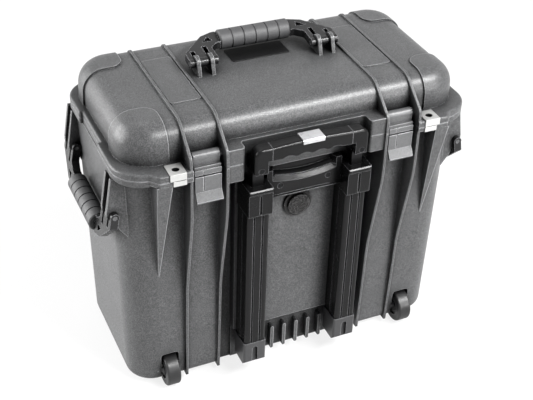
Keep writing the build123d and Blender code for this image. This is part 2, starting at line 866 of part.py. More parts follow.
with BuildPart() as lid_shell:
    add(dome_outer)
    add(corner_pads.part)
    add(lid_flange)
    add(lid_brow)
    for _, side in SIDES:
        for start in rib_starts:
            low, high = mirrored_span(side, start, start + rib_thickness)
            add(lid_rib(low))
        for offset in (ear_inner_x, ear_outer_x):
            add(top_ear(side * offset))
            add(cross_cylinder(top_pivot_y, top_pivot_z, ear_radius, side * offset - ear_thickness / 2, ear_thickness))
        # spacer bosses that centre the latch between its ribs
        for start, end in (
            (inner_rib_x + rib_thickness, latch_x - latch_width / 2 - latch_side_gap),
            (latch_x + latch_width / 2 + latch_side_gap, outer_rib_x),
        ):
            low, high = mirrored_span(side, start, end)
            add(cross_cylinder(link_pin_y, link_pin_z, link_boss_radius, low, high - low))
        # raised panel between the ribs
        with BuildSketch(Plane.XY.offset(lid_top - 1)):
            with Locations((side * latch_x, (band_front + band_back) / 2)):
                RectangleRounded(latch_bay - 2 * band_margin, band_back - band_front, 4)
        extrude(amount=1 + band_rise)
        # hinge arm and knuckle
        arm_half = latch_bay / 2 - hinge_side_gap
        low, high = mirrored_span(side, latch_x - arm_half, latch_x + arm_half)
        add(side_profile(
            (
                (dome_back - wall, lid_bottom),
                (hinge_y, lid_bottom),
                (hinge_y, lid_bottom + hinge_arm_thickness),
                (dome_back - wall, lid_bottom + hinge_arm_thickness),
            ),
            low,
            high - low,
        ))
        add(cross_cylinder(hinge_y, parting_height, hinge_barrel, low, high - low))
    add(lid_cavity, mode=Mode.SUBTRACT)
    add(lid_mouth, mode=Mode.SUBTRACT)
    add(seal_ring(groove_width, lid_bottom - 1, seal_groove_depth + 1), mode=Mode.SUBTRACT)
    for _, side in SIDES:
        low, high = mirrored_span(side, inner_rib_x - bore_overrun, outer_rib_x + rib_thickness + bore_overrun)
        add(cross_cylinder(hinge_y, parting_height, hinge_pin_radius + pin_run_fit, low, high - low),
            mode=Mode.SUBTRACT)
        add(cross_cylinder(link_pin_y, link_pin_z, link_pin_radius + seat_fit, low, high - low),
            mode=Mode.SUBTRACT)
        low, high = mirrored_span(side, arm_inner - bore_overrun, arm_outer + bore_overrun)
        add(cross_cylinder(top_pivot_y, top_pivot_z, handle_pin_radius + seat_fit, low, high - low),
            mode=Mode.SUBTRACT)
        add(padlock_notch(side, lid_bottom - 1, lid_flange_top + 1), mode=Mode.SUBTRACT)
save(lid_shell.part, "lid_shell")

lid_seal = seal_ring(seal_width, lid_bottom + seal_groove_depth - seal_height, seal_height)
save(lid_seal, "lid_seal")

# ---------------------------------------------------------------- foam lining
with BuildPart() as lid_foam:
    add(dome(wall + foam_clearance, lid_flange_top + 2, lid_top - wall, dome_edge - wall - foam_clearance))
    add(block((-half_length, flange_front, lid_bottom), (half_length, flange_back, lid_top - wall - lid_foam_thickness)),
        mode=Mode.SUBTRACT)
save(lid_foam.part, "lid_foam")

floor_height = ground_gap + wall
with BuildPart() as base_foam:
    add(drafted_box(
        tub_half - tub_spread - wall - foam_clearance,
        tub_front + tub_spread + wall + foam_clearance,
        tub_back - tub_spread - wall - foam_clearance,
        floor_height,
        base_foam_thickness,
        tub_corner - wall - foam_clearance,
        tub_draft,
        low_edge=tub_bottom_edge - wall - foam_clearance,
    ))
    bay_edge = bay_half + wall + foam_clearance
    add(block((-bay_edge, flange_front, 0), (bay_edge, bay_back + wall + foam_clearance, brow_bottom)),
        mode=Mode.SUBTRACT)
    for _, side in SIDES:
        reach = axle_half + foam_clearance
        low, high = mirrored_span(side, wheel_x - reach, wheel_x + reach)
        add(block((low, flange_front, 0), (high, well_back + well_wall + foam_clearance, well_top + well_wall)),
            mode=Mode.SUBTRACT)
save(base_foam.part, "base_foam")

# ---------------------------------------------------------------- hinge pins
for name, side in SIDES:
    low, high = mirrored_span(side, inner_rib_x, outer_rib_x + rib_thickness)
    with BuildPart() as hinge_pin:
        add(cross_cylinder(hinge_y, parting_height, hinge_pin_radius, low, high - low))
        chamfer(hinge_pin.edges().filter_by(GeomType.CIRCLE), 0.4)
    save(hinge_pin.part, f"hinge_pin_{name}")

# ---------------------------------------------------------------- latches
for name, side in SIDES:
    centre = side * latch_x
    with BuildPart() as latch_link:
        add(side_profile(
            (
                (latch_face_top, link_pin_z + 2),
                (latch_face_top, band_high),
                (latch_face_band, band_high),
                (latch_face_band, band_low),
                (latch_face_mid, band_low),
                (latch_face_mid, link_bottom),
                (link_back, link_bottom),
                (link_back, band_high - 2),
                (link_pin_y + link_barrel - 1.5, link_pin_z - 4.5),
                (link_pin_y, link_pin_z),
            ),
            centre - latch_width / 2,
            latch_width,
        ))
        add(cross_cylinder(link_pin_y, link_pin_z, link_barrel, centre - latch_width / 2, latch_width))
        add(cross_cylinder(lever_pin_y, lever_pin_z, lever_sweep, centre - latch_width, 2 * latch_width),
            mode=Mode.SUBTRACT)
        add(block(
            (centre - tongue_half, lever_pin_y, lever_pin_z - tongue_knuckle),
            (centre + tongue_half, link_back, lever_pin_z + lever_crown_inside),
        ))
        add(block(
            (centre - tongue_half, lever_pin_y + tongue_step, lever_pin_z),
            (centre + tongue_half, link_back, link_bottom + 3),
        ))
        add(cross_cylinder(lever_pin_y, lever_pin_z, tongue_knuckle, centre - tongue_half, 2 * tongue_half))
        add(cross_cylinder(link_pin_y, link_pin_z, link_pin_radius + pin_run_fit, centre - latch_width, 2 * latch_width),
            mode=Mode.SUBTRACT)
        add(cross_cylinder(lever_pin_y, lever_pin_z, lever_pin_radius + seat_fit, centre - latch_width, 2 * latch_width),
            mode=Mode.SUBTRACT)
        add(block(
            (centre + latch_groove_x - latch_groove / 2, latch_face_mid - 1, link_bottom - 1),
            (centre + latch_groove_x + latch_groove / 2, latch_face_mid + 0.8, band_low + 1),
        ), mode=Mode.SUBTRACT)
    save(latch_link.part, f"latch_link_{name}")

    lever_inside = lever_face + lever_sheet
    with BuildPart() as latch_lever:
        add(side_profile(
            (
                (lever_face, lever_pin_z + lever_crown),
                (lever_face, lever_flare_height),
                (lever_lip_y, lever_bottom + 2.2),
                (lever_lip_y + 1.2, lever_bottom),
                (lever_lip_y + lever_sheet, lever_bottom + 0.8),
                (lever_inside, lever_flare_height - 0.6),
                (lever_inside, lever_pin_z + lever_crown_inside),
            ),
            centre - latch_width / 2,
            latch_width,
        ))
        for hand in (-1, 1):
            near, far = mirrored_span(hand, tongue_half + lever_lug_gap, tongue_half + lever_lug_gap + lever_lug_width)
            add(block(
                (centre + near, lever_inside - 0.5, lever_pin_z - lever_knuckle),
                (centre + far, lever_pin_y, lever_pin_z + lever_crown_inside),
            ))
            add(cross_cylinder(lever_pin_y, lever_pin_z, lever_knuckle, centre + near, far - near))
        add(side_profile(
            (
                (lever_inside - 0.5, claw_low - 3),
                (claw_tip, claw_low),
                (claw_tip, claw_high),
                (lever_inside - 0.5, claw_high),
            ),
            centre - claw_half,
            2 * claw_half,
        ))
        add(cross_cylinder(lever_pin_y, lever_pin_z, lever_pin_radius + pin_run_fit, centre - latch_width, 2 * latch_width),
            mode=Mode.SUBTRACT)
        add(block(
            (centre + latch_groove_x - latch_groove / 2, lever_face - 1, lever_flare_height + 2),
            (centre + latch_groove_x + latch_groove / 2, lever_face + 0.8, lever_pin_z + lever_crown + 1),
        ), mode=Mode.SUBTRACT)
    save(latch_lever.part, f"latch_lever_{name}")

    low, high = mirrored_span(side, inner_rib_x, outer_rib_x + rib_thickness)
    with BuildPart() as latch_pin:
        add(cross_cylinder(link_pin_y, link_pin_z, link_pin_radius, low, high - low))
        chamfer(latch_pin.edges().filter_by(GeomType.CIRCLE), 0.3)
    save(latch_pin.part, f"latch_pin_{name}")
    lug_reach = tongue_half + lever_lug_gap + lever_lug_width
    with BuildPart() as lever_pin:
        add(cross_cylinder(lever_pin_y, lever_pin_z, lever_pin_radius, centre - lug_reach, 2 * lug_reach))
    save(lever_pin.part, f"lever_pin_{name}")

# ---------------------------------------------------------------- folding handles
# Local frame: X along the pivot, Y from the pivot to the grip, Z through the arm's thickness.
with BuildPart() as handle_frame:
    with BuildSketch(Plane.XY.offset(-arm_thickness / 2)) as arm_outline:
        Polygon(
            (arm_inner, 0),
            (arm_outer, 0),
            (arm_outer, arm_shoulder),
            (arm_bend_x, handle_reach + 6.5),
            (grip_length / 2 + 6, handle_reach + arm_end_half),
            (grip_length / 2, handle_reach + arm_end_half),
            (grip_length / 2, handle_reach - arm_end_half),
            (grip_length / 2 + 6, handle_reach - arm_end_half),
            (arm_inner, arm_shoulder + 4),
            align=None,
        )
        fillet(arm_outline.vertices().filter_by(lambda v: v.Y > 1 and v.X > grip_length / 2 + 1), 5)
        mirror(about=Plane.YZ)
    extrude(amount=arm_thickness)
    for _, side in SIDES:
        low, high = mirrored_span(side, arm_inner, arm_outer)
        add(cross_cylinder(0, 0, knuckle_radius, low, high - low))
    add(cross_cylinder(handle_reach, 0, grip_core, -grip_length / 2 - 1, grip_length + 2))
    for _, side in SIDES:
        for offset, depth in ((ear_inner_x, ear_slot_deep), (ear_outer_x, ear_slot_short)):
            slot = ear_thickness / 2 + ear_side_gap
            low, high = mirrored_span(side, offset - slot, offset + slot)
            add(block((low, -2 * ear_radius, -2 * ear_radius), (high, depth, 2 * ear_radius)), mode=Mode.SUBTRACT)
        with BuildSketch(Plane.XY.offset(arm_thickness / 2 - arm_pocket)):
            Polygon(
                (side * (arm_bend_x - 12), handle_reach - 7),
                (side * (arm_bend_x + 2), handle_reach - 7),
                (side * (arm_bend_x - 9), handle_reach + 3),
                align=None,
            )
        extrude(amount=arm_pocket + 1, mode=Mode.SUBTRACT)
        low, high = mirrored_span(side, arm_inner - bore_overrun, arm_outer + bore_overrun)
        add(cross_cylinder(0, 0, handle_pin_radius + pin_run_fit, low, high - low), mode=Mode.SUBTRACT)

with BuildPart() as handle_grip:
    with BuildSketch(Plane.YZ.offset(-grip_length / 2)):
        with Locations((handle_reach, 0)):
            Circle(grip_radius)
            Circle(grip_core, mode=Mode.SUBTRACT)
    extrude(amount=grip_length)
    chamfer(handle_grip.edges().filter_by(GeomType.CIRCLE).filter_by(
        lambda edge: abs(edge.radius - grip_radius) < 0.01), 1.5)
    for step in range(-2, 3):
        with BuildSketch(Plane.YZ.offset(step * grip_band_pitch - 1)):
            with Locations((handle_reach, 0)):
                Circle(grip_radius + 1)
                Circle(grip_radius - grip_band_groove, mode=Mode.SUBTRACT)
        extrude(amount=2, mode=Mode.SUBTRACT)

with BuildPart() as handle_pins:
    for _, side in SIDES:
        low, high = mirrored_span(side, arm_inner, arm_outer)
        add(cross_cylinder(0, 0, handle_pin_radius, low, high - low))

top_lean = radians(top_rest_angle)
side_lean = radians(side_rest_angle)
handle_planes = (
    ("top", Plane(
        origin=(0, top_pivot_y, top_pivot_z),
        x_dir=(1, 0, 0),
        z_dir=(0, -sin(top_lean), cos(top_lean)),
    )),
    ("left", Plane(
        origin=(-side_pivot_x, side_pivot_y, side_pivot_z),
        x_dir=(0, 1, 0),
        z_dir=(-cos(side_lean), 0, sin(side_lean)),
    )),
    ("right", Plane(
        origin=(side_pivot_x, side_pivot_y, side_pivot_z),
        x_dir=(0, -1, 0),
        z_dir=(cos(side_lean), 0, sin(side_lean)),
    )),
)
for name, place in handle_planes:
    title = "top_handle" if name == "top" else "side_handle"
    tail = "" if name == "top" else f"_{name}"
    for kind, piece in (("frame", handle_frame), ("grip", handle_grip), ("pins", handle_pins)):
        with BuildPart() as placed:
            with Locations(place.location):
                add(piece.part)
        save(placed.part, f"{title}_{kind}{tail}")

# ---------------------------------------------------------------- trolley on the front
tube_front_face = tube_y - mid_tube_depth / 2
for name, side in SIDES:
    centre = side * rail_x
    with BuildPart() as trolley_rail:
        with BuildSketch(Plane.XY.offset(rail_bottom)) as section:
            with Locations((centre, (rail_front + bay_panel_front) / 2)):
                Rectangle(rail_outer_x - rail_inner_x, bay_panel_front - rail_front)
            fillet(section.vertices().group_by(Axis.Y)[0], 4)
            with Locations((centre, (rail_front + bay_panel_front) / 2)):
                Rectangle(
                    rail_outer_x - rail_inner_x - 2 * rail_wall,
                    bay_panel_front - rail_front - 2 * rail_wall,
                    mode=Mode.SUBTRACT,
                )
            # two guides behind the tube
            guide_front = tube_y + mid_tube_depth / 2 + guide_gap
            with Locations((centre, 0)):
                with GridLocations(mid_tube_width / 2, 1, 2, 1):
                    with Locations((0, (guide_front + bay_panel_front - rail_wall + 0.5) / 2)):
                        Rectangle(2, bay_panel_front - rail_wall + 0.5 - guide_front)
            # a groove down each side and two flutes on the front
            groove_y = (rail_front + bay_panel_front) / 2
            for hand in (-1, 1):
                with Locations((centre + hand * (rail_outer_x - rail_inner_x) / 2, groove_y)):
                    Rectangle(2 * rail_groove_depth, rail_groove_width, mode=Mode.SUBTRACT)
                with Locations((centre + hand * 6, rail_front)):
                    Rectangle(rail_groove_width, 2 * rail_groove_depth, mode=Mode.SUBTRACT)
        extrude(amount=rail_top - rail_bottom)
    save(trolley_rail.part, f"trolley_rail_{name}")

    low, high = mirrored_span(side, collar_inner_x, collar_outer_x)
    with BuildPart() as trolley_foot:
        add(side_profile(
            (
                (bay_panel_front, foot_bottom),
                (foot_front + 5, foot_bottom),
                (foot_front, foot_bottom + 5),
                (foot_front, rail_bottom),
                (bay_panel_front, rail_bottom),
            ),
            low,
            high - low,
        ))
        fillet(trolley_foot.edges().filter_by(Axis.Z).group_by(Axis.Y)[0], 3)
        with BuildSketch(Plane.XZ.offset(-(foot_front + foot_slot_depth))):
            with Locations((centre, foot_slot_top - foot_slot_width / 2)):
                Circle(foot_slot_width / 2)
            with Locations((centre, (foot_slot_top - foot_slot_width / 2) / 2)):
                Rectangle(foot_slot_width, foot_slot_top - foot_slot_width / 2)
        extrude(amount=foot_slot_depth + 1, mode=Mode.SUBTRACT)
    save(trolley_foot.part, f"trolley_foot_{name}")

    with BuildPart() as trolley_collar:
        add(side_profile(
            (
                (bay_panel_front, rail_top),
                (collar_front + 1, rail_top),
                (collar_front, rail_top + 2),
                (collar_front, collar_top - collar_lip - 2),
                (collar_front - 1.8, collar_top - collar_lip),
                (collar_front - 1.8, collar_top - 1.5),
                (collar_front - 0.3, collar_top),
                (bay_panel_front, collar_top),
            ),
            low,
            high - low,
        ))
        fillet(trolley_collar.edges().filter_by(Axis.Z).group_by(Axis.Y)[0], 2.5)
        with BuildSketch(Plane.XY.offset(rail_top - 1)):
            with Locations((centre, tube_y)):
                Rectangle(mid_tube_width + 2 * collar_gap, mid_tube_depth + 2 * collar_gap)
        extrude(amount=collar_top - rail_top + 2, mode=Mode.SUBTRACT)
        add(block(
            (centre - collar_slot / 2, collar_front - 5, rail_top + 3),
            (centre + collar_slot / 2, collar_front + 1.4, collar_top - collar_lip - 4),
        ), mode=Mode.SUBTRACT)
    save(trolley_collar.part, f"trolley_collar_{name}")

    with BuildPart() as mid_tube:
        with BuildSketch(Plane.XY.offset(mid_tube_bottom)):
            with Locations((centre, tube_y)):
                RectangleRounded(mid_tube_width, mid_tube_depth, 2)
                RectangleRounded(
                    mid_tube_width - 2 * tube_wall, mid_tube_depth - 2 * tube_wall, 1, mode=Mode.SUBTRACT
                )
        extrude(amount=collar_top - 0.5 - mid_tube_bottom)
    save(mid_tube.part, f"mid_tube_{name}")

    with BuildPart() as inner_tube:
        with BuildSketch(Plane.XY.offset(inner_tube_bottom)):
            with Locations((centre, tube_y)):
                RectangleRounded(inner_tube_width, inner_tube_depth, 1)
                RectangleRounded(
                    inner_tube_width - 2 * tube_wall, inner_tube_depth - 2 * tube_wall, 0.5, mode=Mode.SUBTRACT
                )
        extrude(amount=leg_socket_top - inner_tube_bottom)
    save(inner_tube.part, f"inner_tube_{name}")

with BuildPart() as trolley_cross_plate:
    add(side_profile(
        (
            (bay_panel_front, plate_bottom),
            (plate_front - plate_lip + 1, plate_bottom),
            (plate_front - plate_lip, plate_bottom + 1),
            (plate_front - plate_lip, plate_bottom + 2),
            (plate_front, plate_bottom + 3.7),
            (plate_front, plate_top),
            (bay_panel_front, plate_top),
        ),
        -collar_inner_x,
        2 * collar_inner_x,
    ))
    # hand scoop: a slanting lip first, then the hollow behind it
    for rise, depth, slant in ((0, plate_scoop_lip_depth, 50), (plate_scoop_lip, plate_scoop_depth, 25)):
        scoop_end = plate_scoop_end + rise
        with BuildSketch(Plane.XZ.offset(-plate_front)):
            with BuildLine():
                ThreePointArc(
                    (-collar_inner_x + 8, scoop_end),
                    (0, scoop_end - plate_scoop_sag),
                    (collar_inner_x - 8, scoop_end),
                )
                Polyline(
                    (collar_inner_x - 8, scoop_end),
                    (collar_inner_x - 8, plate_top + 20),
                    (-collar_inner_x + 8, plate_top + 20),
                    (-collar_inner_x + 8, scoop_end),
                )
            make_face()
        extrude(amount=-depth, taper=slant, mode=Mode.SUBTRACT)
    with BuildSketch(Plane.XZ.offset(-(plate_front + screw_recess))):
        with GridLocations(2 * plate_screw_x, 1, 2, 1):
            with Locations((0, plate_screw_z)):
                Circle(screw_head + 0.4)
    extrude(amount=screw_recess + 4, mode=Mode.SUBTRACT)
    with BuildSketch(Plane.XZ.offset(-(plate_front + screw_length))):
        with GridLocations(2 * plate_screw_x, 1, 2, 1):
            with Locations((0, plate_screw_z)):
                Circle(screw_shank)
    extrude(amount=screw_length, mode=Mode.SUBTRACT)
save(trolley_cross_plate.part, "trolley_cross_plate")

with BuildPart() as cross_plate_screws:
    with BuildSketch(Plane.XZ.offset(-(plate_front + screw_recess))):
        with GridLocations(2 * plate_screw_x, 1, 2, 1):
            with Locations((0, plate_screw_z)):
                Circle(screw_head)
    extrude(amount=screw_recess - 0.4)
    with BuildSketch(Plane.XZ.offset(-(plate_front + screw_length - 0.5))):
        with GridLocations(2 * plate_screw_x, 1, 2, 1):
            with Locations((0, plate_screw_z)):
                Circle(screw_shank)
    extrude(amount=screw_length - 0.5 - screw_recess)
    with BuildSketch(Plane.XZ.offset(-(plate_front + 0.4))):
        with GridLocations(2 * plate_screw_x, 1, 2, 1):
            with Locations((0, plate_screw_z)):
                Rectangle(0.9, 4.4)
                Rectangle(4.4, 0.9)
    extrude(amount=-0.8, mode=Mode.SUBTRACT)
save(cross_plate_screws.part, "cross_plate_screws")

# ---------------------------------------------------------------- trolley grip
channel_half = release_bar / 2 + release_bar_gap
channel_low = release_bar_z - release_bar / 2 - button_stroke - button_gap
channel_high = release_bar_z + release_bar / 2 + release_bar_gap
with BuildPart() as trolley_grip:
    with BuildSketch(Plane.XZ.offset(-bar_back)) as front_view:
        with BuildLine():
            ThreePointArc((-bar_end_x, bar_top), (0, bar_top + bar_crown), (bar_end_x, bar_top))
            Polyline(
                (bar_end_x, bar_top),
                (bar_end_x, bar_bottom),
                (-bar_end_x, bar_bottom),
                (-bar_end_x, bar_top),
            )
        make_face()
        for step in range(-2, 2):
            with Locations((finger_pitch * (step + 0.5), bar_bottom + finger_depth - finger_radius)):
                Circle(finger_radius, mode=Mode.SUBTRACT)
    extrude(amount=bar_back - bar_front)
    fillet(trolley_grip.edges().filter_by(lambda e: e.center().Z > bar_top - 0.1 and e.length > bar_end_x), bar_edge)
    # channel for the release bar and the spring's pocket
    add(block((-bar_end_x - 1, release_y - channel_half, channel_low), (bar_end_x + 1, release_y + channel_half, channel_high)),
        mode=Mode.SUBTRACT)
    add(block(
        (-spring_width / 2 - 1, release_y - channel_half, spring_floor),
        (spring_width / 2 + 1, release_y + channel_half, channel_low + 1),
    ), mode=Mode.SUBTRACT)
    # pocket for the button, open at the top and the front
    pocket = button_half + button_gap
    pocket_floor = button_top - button_sheet - button_stroke - button_gap
    add(block((-pocket, bar_front - 2, pocket_floor), (pocket, release_y + channel_half, button_top + 9)),
        mode=Mode.SUBTRACT)
    add(block((-pocket, release_y - channel_half, channel_low), (pocket, release_y + channel_half, pocket_floor + 1)),
        mode=Mode.SUBTRACT)
save(trolley_grip.part, "trolley_grip")

for name, side in SIDES:
    with BuildPart() as grip_corner:
        with BuildSketch(Plane.XZ.offset(-bar_back)) as front_view:
            Polygon(
                (side * bar_end_x, bar_bottom),
                (side * bar_end_x, bar_top),
                (side * leg_outer_x, bar_top),
                (side * leg_outer_x, bar_bottom),
                align=None,
            )
            fillet(front_view.vertices().filter_by(
                lambda v: abs(v.X) > leg_outer_x - 1 and v.Y > bar_top - 1), corner_bend)
        extrude(amount=bar_back - bar_front)
        shoulder = grip_corner.edges().filter_by(
            lambda e: abs(abs(e.center().Y - (bar_front + bar_back) / 2) - (bar_back - bar_front) / 2) < 0.01
            and (e.center().Z > bar_top - corner_bend or abs(e.center().X) > leg_outer_x - 0.1)
            and abs(e.center().X) > bar_end_x + 0.1
        )
        fillet(shoulder, bar_edge)
        with BuildSketch(Plane.XY.offset(leg_bottom)) as leg_section:
            with Locations((side * leg_x, (bar_front + leg_back) / 2)):
                Rectangle(leg_outer_x - leg_inner_x, leg_back - bar_front)
            fillet(leg_section.vertices().filter_by(
                lambda v: abs(v.X) > leg_x and v.Y < bar_front + 0.1), bar_edge)
        extrude(amount=bar_bottom - leg_bottom)
        with BuildSketch(Plane.XY.offset(leg_bottom - 1)):
            with Locations((side * leg_x, tube_y)):
                RectangleRounded(inner_tube_width + 2 * seat_fit, inner_tube_depth + 2 * seat_fit, 1)
        extrude(amount=leg_socket_top - leg_bottom + 1, mode=Mode.SUBTRACT)
        # release bar's channel and the rod's way down
        low, high = mirrored_span(side, bar_end_x - 1, leg_x + channel_half)
        add(block((low, release_y - channel_half, channel_low), (high, release_y + channel_half, channel_high)),
            mode=Mode.SUBTRACT)
        add(block(
            (side * leg_x - channel_half, release_y - channel_half, leg_socket_top - 1),
            (side * leg_x + channel_half, release_y + channel_half, channel_low + 1),
        ), mode=Mode.SUBTRACT)
        with BuildSketch(Plane.XZ.offset(-(bar_front + screw_recess))):
            with Locations((side * leg_x, leg_screw_z)):
                Circle(screw_head + 0.3)
        extrude(amount=screw_recess + 1, mode=Mode.SUBTRACT)
    save(grip_corner.part, f"trolley_grip_corner_{name}")

with BuildPart() as grip_screws:
    with BuildSketch(Plane.XZ.offset(-(bar_front + screw_recess))):
        with GridLocations(2 * leg_x, 1, 2, 1):
            with Locations((0, leg_screw_z)):
                Circle(screw_head)
    extrude(amount=screw_recess + 0.3)
    with BuildSketch(Plane.XZ.offset(-(bar_front - 0.3))):
        with GridLocations(2 * leg_x, 1, 2, 1):
            with Locations((0, leg_screw_z)):
                Rectangle(0.9, 4.4)
                Rectangle(4.4, 0.9)
    extrude(amount=-0.8, mode=Mode.SUBTRACT)
save(grip_screws.part, "grip_screws")

with BuildPart() as trolley_button:
    # top plate with a lip that slides down over the bar's front
    lip_front = bar_front - button_lip_gap - button_lip_sheet
    with BuildSketch(Plane.YZ.offset(-button_half)) as bent_plate:
        Polygon(
            (release_y + channel_half - button_gap, button_top - button_sheet),
            (release_y + channel_half - button_gap, button_top),
            (lip_front, button_top),
            (lip_front, button_top - button_lip),
            (lip_front + button_lip_sheet, button_top - button_lip),
            (lip_front + button_lip_sheet, button_top - button_sheet),
            align=None,
        )
        fillet(bent_plate.vertices().filter_by(lambda v: abs(v.X - lip_front) < 0.01 and v.Y > button_top - 1),
               button_sheet)
    extrude(amount=2 * button_half)
    add(block(
        (-stem_half, release_y - release_bar / 2, release_bar_z + release_bar / 2),
        (stem_half, release_y + release_bar / 2, button_top - button_sheet / 2),
    ))
save(trolley_button.part, "trolley_button")

with BuildPart() as release_linkage:
    half_bar = release_bar / 2
    add(block(
        (-leg_x - half_bar, release_y - half_bar, release_bar_z - half_bar),
        (leg_x + half_bar, release_y + half_bar, release_bar_z + half_bar),
    ))
    for _, side in SIDES:
        add(block(
            (side * leg_x - half_bar, release_y - half_bar, release_rod_bottom),
            (side * leg_x + half_bar, release_y + half_bar, release_bar_z),
        ))
save(release_linkage.part, "release_linkage")

with BuildPart() as button_spring:
    with BuildSketch(Plane.XZ.offset(-(release_y + spring_depth / 2))) as zigzag:
        spring_top = release_bar_z - release_bar / 2
        rungs = 5
        rise = (spring_top - spring_floor - spring_sheet) / rungs
        for rung in range(rungs):
            start = spring_floor + rung * rise
            lean = 1 if rung % 2 == 0 else -1
            Polygon(
                (-lean * spring_width / 2, start),
                (lean * spring_width / 2, start + rise),
                (lean * spring_width / 2, start + rise + spring_sheet),
                (-lean * spring_width / 2, start + spring_sheet),
                align=None,
            )
    extrude(amount=spring_depth)
save(button_spring.part, "button_spring")

# ---------------------------------------------------------------- wheels
for name, side in SIDES:
    start = side * wheel_x - wheel_width / 2
    with BuildPart() as wheel_tyre:
        with BuildSketch(Plane.YZ.offset(start)):
            with Locations((wheel_y, wheel_radius)):
                Circle(wheel_radius)
                Circle(hub_radius, mode=Mode.SUBTRACT)
        extrude(amount=wheel_width)
        fillet(wheel_tyre.edges().filter_by(GeomType.CIRCLE).filter_by(
            lambda edge: abs(edge.radius - wheel_radius) < 0.01), tread_edge)
    save(wheel_tyre.part, f"wheel_tyre_{name}")
    with BuildPart() as wheel_hub:
        with BuildSketch(Plane.YZ.offset(start)):
            with Locations((wheel_y, wheel_radius)):
                Circle(hub_radius)
                Circle(axle_radius + 1.5, mode=Mode.SUBTRACT)
        extrude(amount=wheel_width)
        for near, far in ((start, start + bearing_width), (start + wheel_width - bearing_width, start + wheel_width)):
            add(cross_cylinder(wheel_y, wheel_radius, bearing_radius, near, far - near), mode=Mode.SUBTRACT)
        for near in (start, start + wheel_width - hub_dish):
            with BuildSketch(Plane.YZ.offset(near)):
                with Locations((wheel_y, wheel_radius)):
                    Circle(hub_radius - 2)
                    Circle(bearing_radius + 2, mode=Mode.SUBTRACT)
            extrude(amount=hub_dish, mode=Mode.SUBTRACT)
    save(wheel_hub.part, f"wheel_hub_{name}")
    with BuildPart() as wheel_bearings:
        for near in (start, start + wheel_width - bearing_width):
            with BuildSketch(Plane.YZ.offset(near)):
                with Locations((wheel_y, wheel_radius)):
                    Circle(bearing_radius)
                    Circle(axle_radius + axle_fit, mode=Mode.SUBTRACT)
            extrude(amount=bearing_width)
    save(wheel_bearings.part, f"wheel_bearings_{name}")
    low, high = mirrored_span(side, wheel_x - axle_half, wheel_x + axle_half)
    save(cross_cylinder(wheel_y, wheel_radius, axle_radius, low, high - low), f"wheel_axle_{name}")

# ---------------------------------------------------------------- padlock plates
with BuildPart() as padlock_plates_lid:
    for _, side in SIDES:
        low, high = mirrored_span(side, padlock_x - plate_width / 2, padlock_x + plate_width / 2)
        add(block((low, lug_front - plate_sheet, lid_flange_top), (high, plate_back, lid_flange_top + plate_sheet)))
        add(block((low, lug_front - plate_sheet, lid_bottom + 0.4), (high, lug_front, lid_flange_top + plate_sheet)))
        with BuildSketch(Plane.XY.offset(lid_flange_top - 1)):
            with Locations((side * padlock_x, padlock_y)):
                Circle(padlock_hole / 2)
        extrude(amount=plate_sheet + 2, mode=Mode.SUBTRACT)
save(padlock_plates_lid.part, "padlock_plates_lid")

with BuildPart() as padlock_plates_base:
    for _, side in SIDES:
        low, high = mirrored_span(side, padlock_x - plate_width / 2, gusset_inner - 0.3)
        add(block((low, lug_front - plate_sheet, lug_base_bottom - plate_sheet), (high, plate_back, lug_base_bottom)))
        add(block((low, lug_front - plate_sheet, lug_base_bottom - plate_sheet), (high, lug_front, base_top - 0.4)))
        with BuildSketch(Plane.XY.offset(lug_base_bottom - plate_sheet - 1)):
            with Locations((side * padlock_x, padlock_y)):
                Circle(padlock_hole / 2)
        extrude(amount=plate_sheet + 2, mode=Mode.SUBTRACT)
save(padlock_plates_base.part, "padlock_plates_base")

# ---------------------------------------------------------------- pressure valve
valve_flange_back = bay_panel_front - valve_seal
valve_flange_front = valve_flange_back - valve_flange
panel_inside = bay_panel_front + wall
with BuildPart() as valve_body:
    with BuildSketch(Plane.XZ.offset(-valve_flange_back)):
        with Locations((0, valve_z)):
            Circle(valve_flange_radius)
    extrude(amount=valve_flange)
    chamfer(valve_body.edges().group_by(Axis.Y)[0], 0.8)
    with BuildSketch(Plane.XZ.offset(-(panel_inside + valve_nut + 1))):
        with Locations((0, valve_z)):
            Circle(valve_barrel_radius)
            Circle(valve_barrel_radius - 3, mode=Mode.SUBTRACT)
    extrude(amount=panel_inside + valve_nut + 1 - valve_flange_back)
save(valve_body.part, "valve_body")

with BuildPart() as valve_cap_piece:
    with BuildSketch(Plane.XZ.offset(-valve_flange_front)):
        with Locations((0, valve_z)):
            Circle(valve_cap_radius)
    extrude(amount=valve_cap)
    fillet(valve_cap_piece.edges().group_by(Axis.Y)[0], 1.0)
    with BuildSketch(Plane.XZ.offset(-(valve_flange_front - valve_cap))):
        with Locations((0, valve_z)):
            with PolarLocations(valve_cap_radius, valve_vents):
                Circle(1.3)
    extrude(amount=-valve_cap, mode=Mode.SUBTRACT)
save(valve_cap_piece.part, "valve_cap")

with BuildPart() as valve_seal_ring:
    with BuildSketch(Plane.XZ.offset(-bay_panel_front)):
        with Locations((0, valve_z)):
            Circle(valve_flange_radius - 1)
            Circle(valve_barrel_radius + 0.5, mode=Mode.SUBTRACT)
    extrude(amount=valve_seal)
save(valve_seal_ring.part, "valve_seal")

with BuildPart() as valve_nut_piece:
    with BuildSketch(Plane.XZ.offset(-(panel_inside + valve_nut))):
        with Locations((0, valve_z)):
            RegularPolygon(valve_nut_radius, 6)
            Circle(valve_barrel_radius, mode=Mode.SUBTRACT)
    extrude(amount=valve_nut)
save(valve_nut_piece.part, "valve_nut")

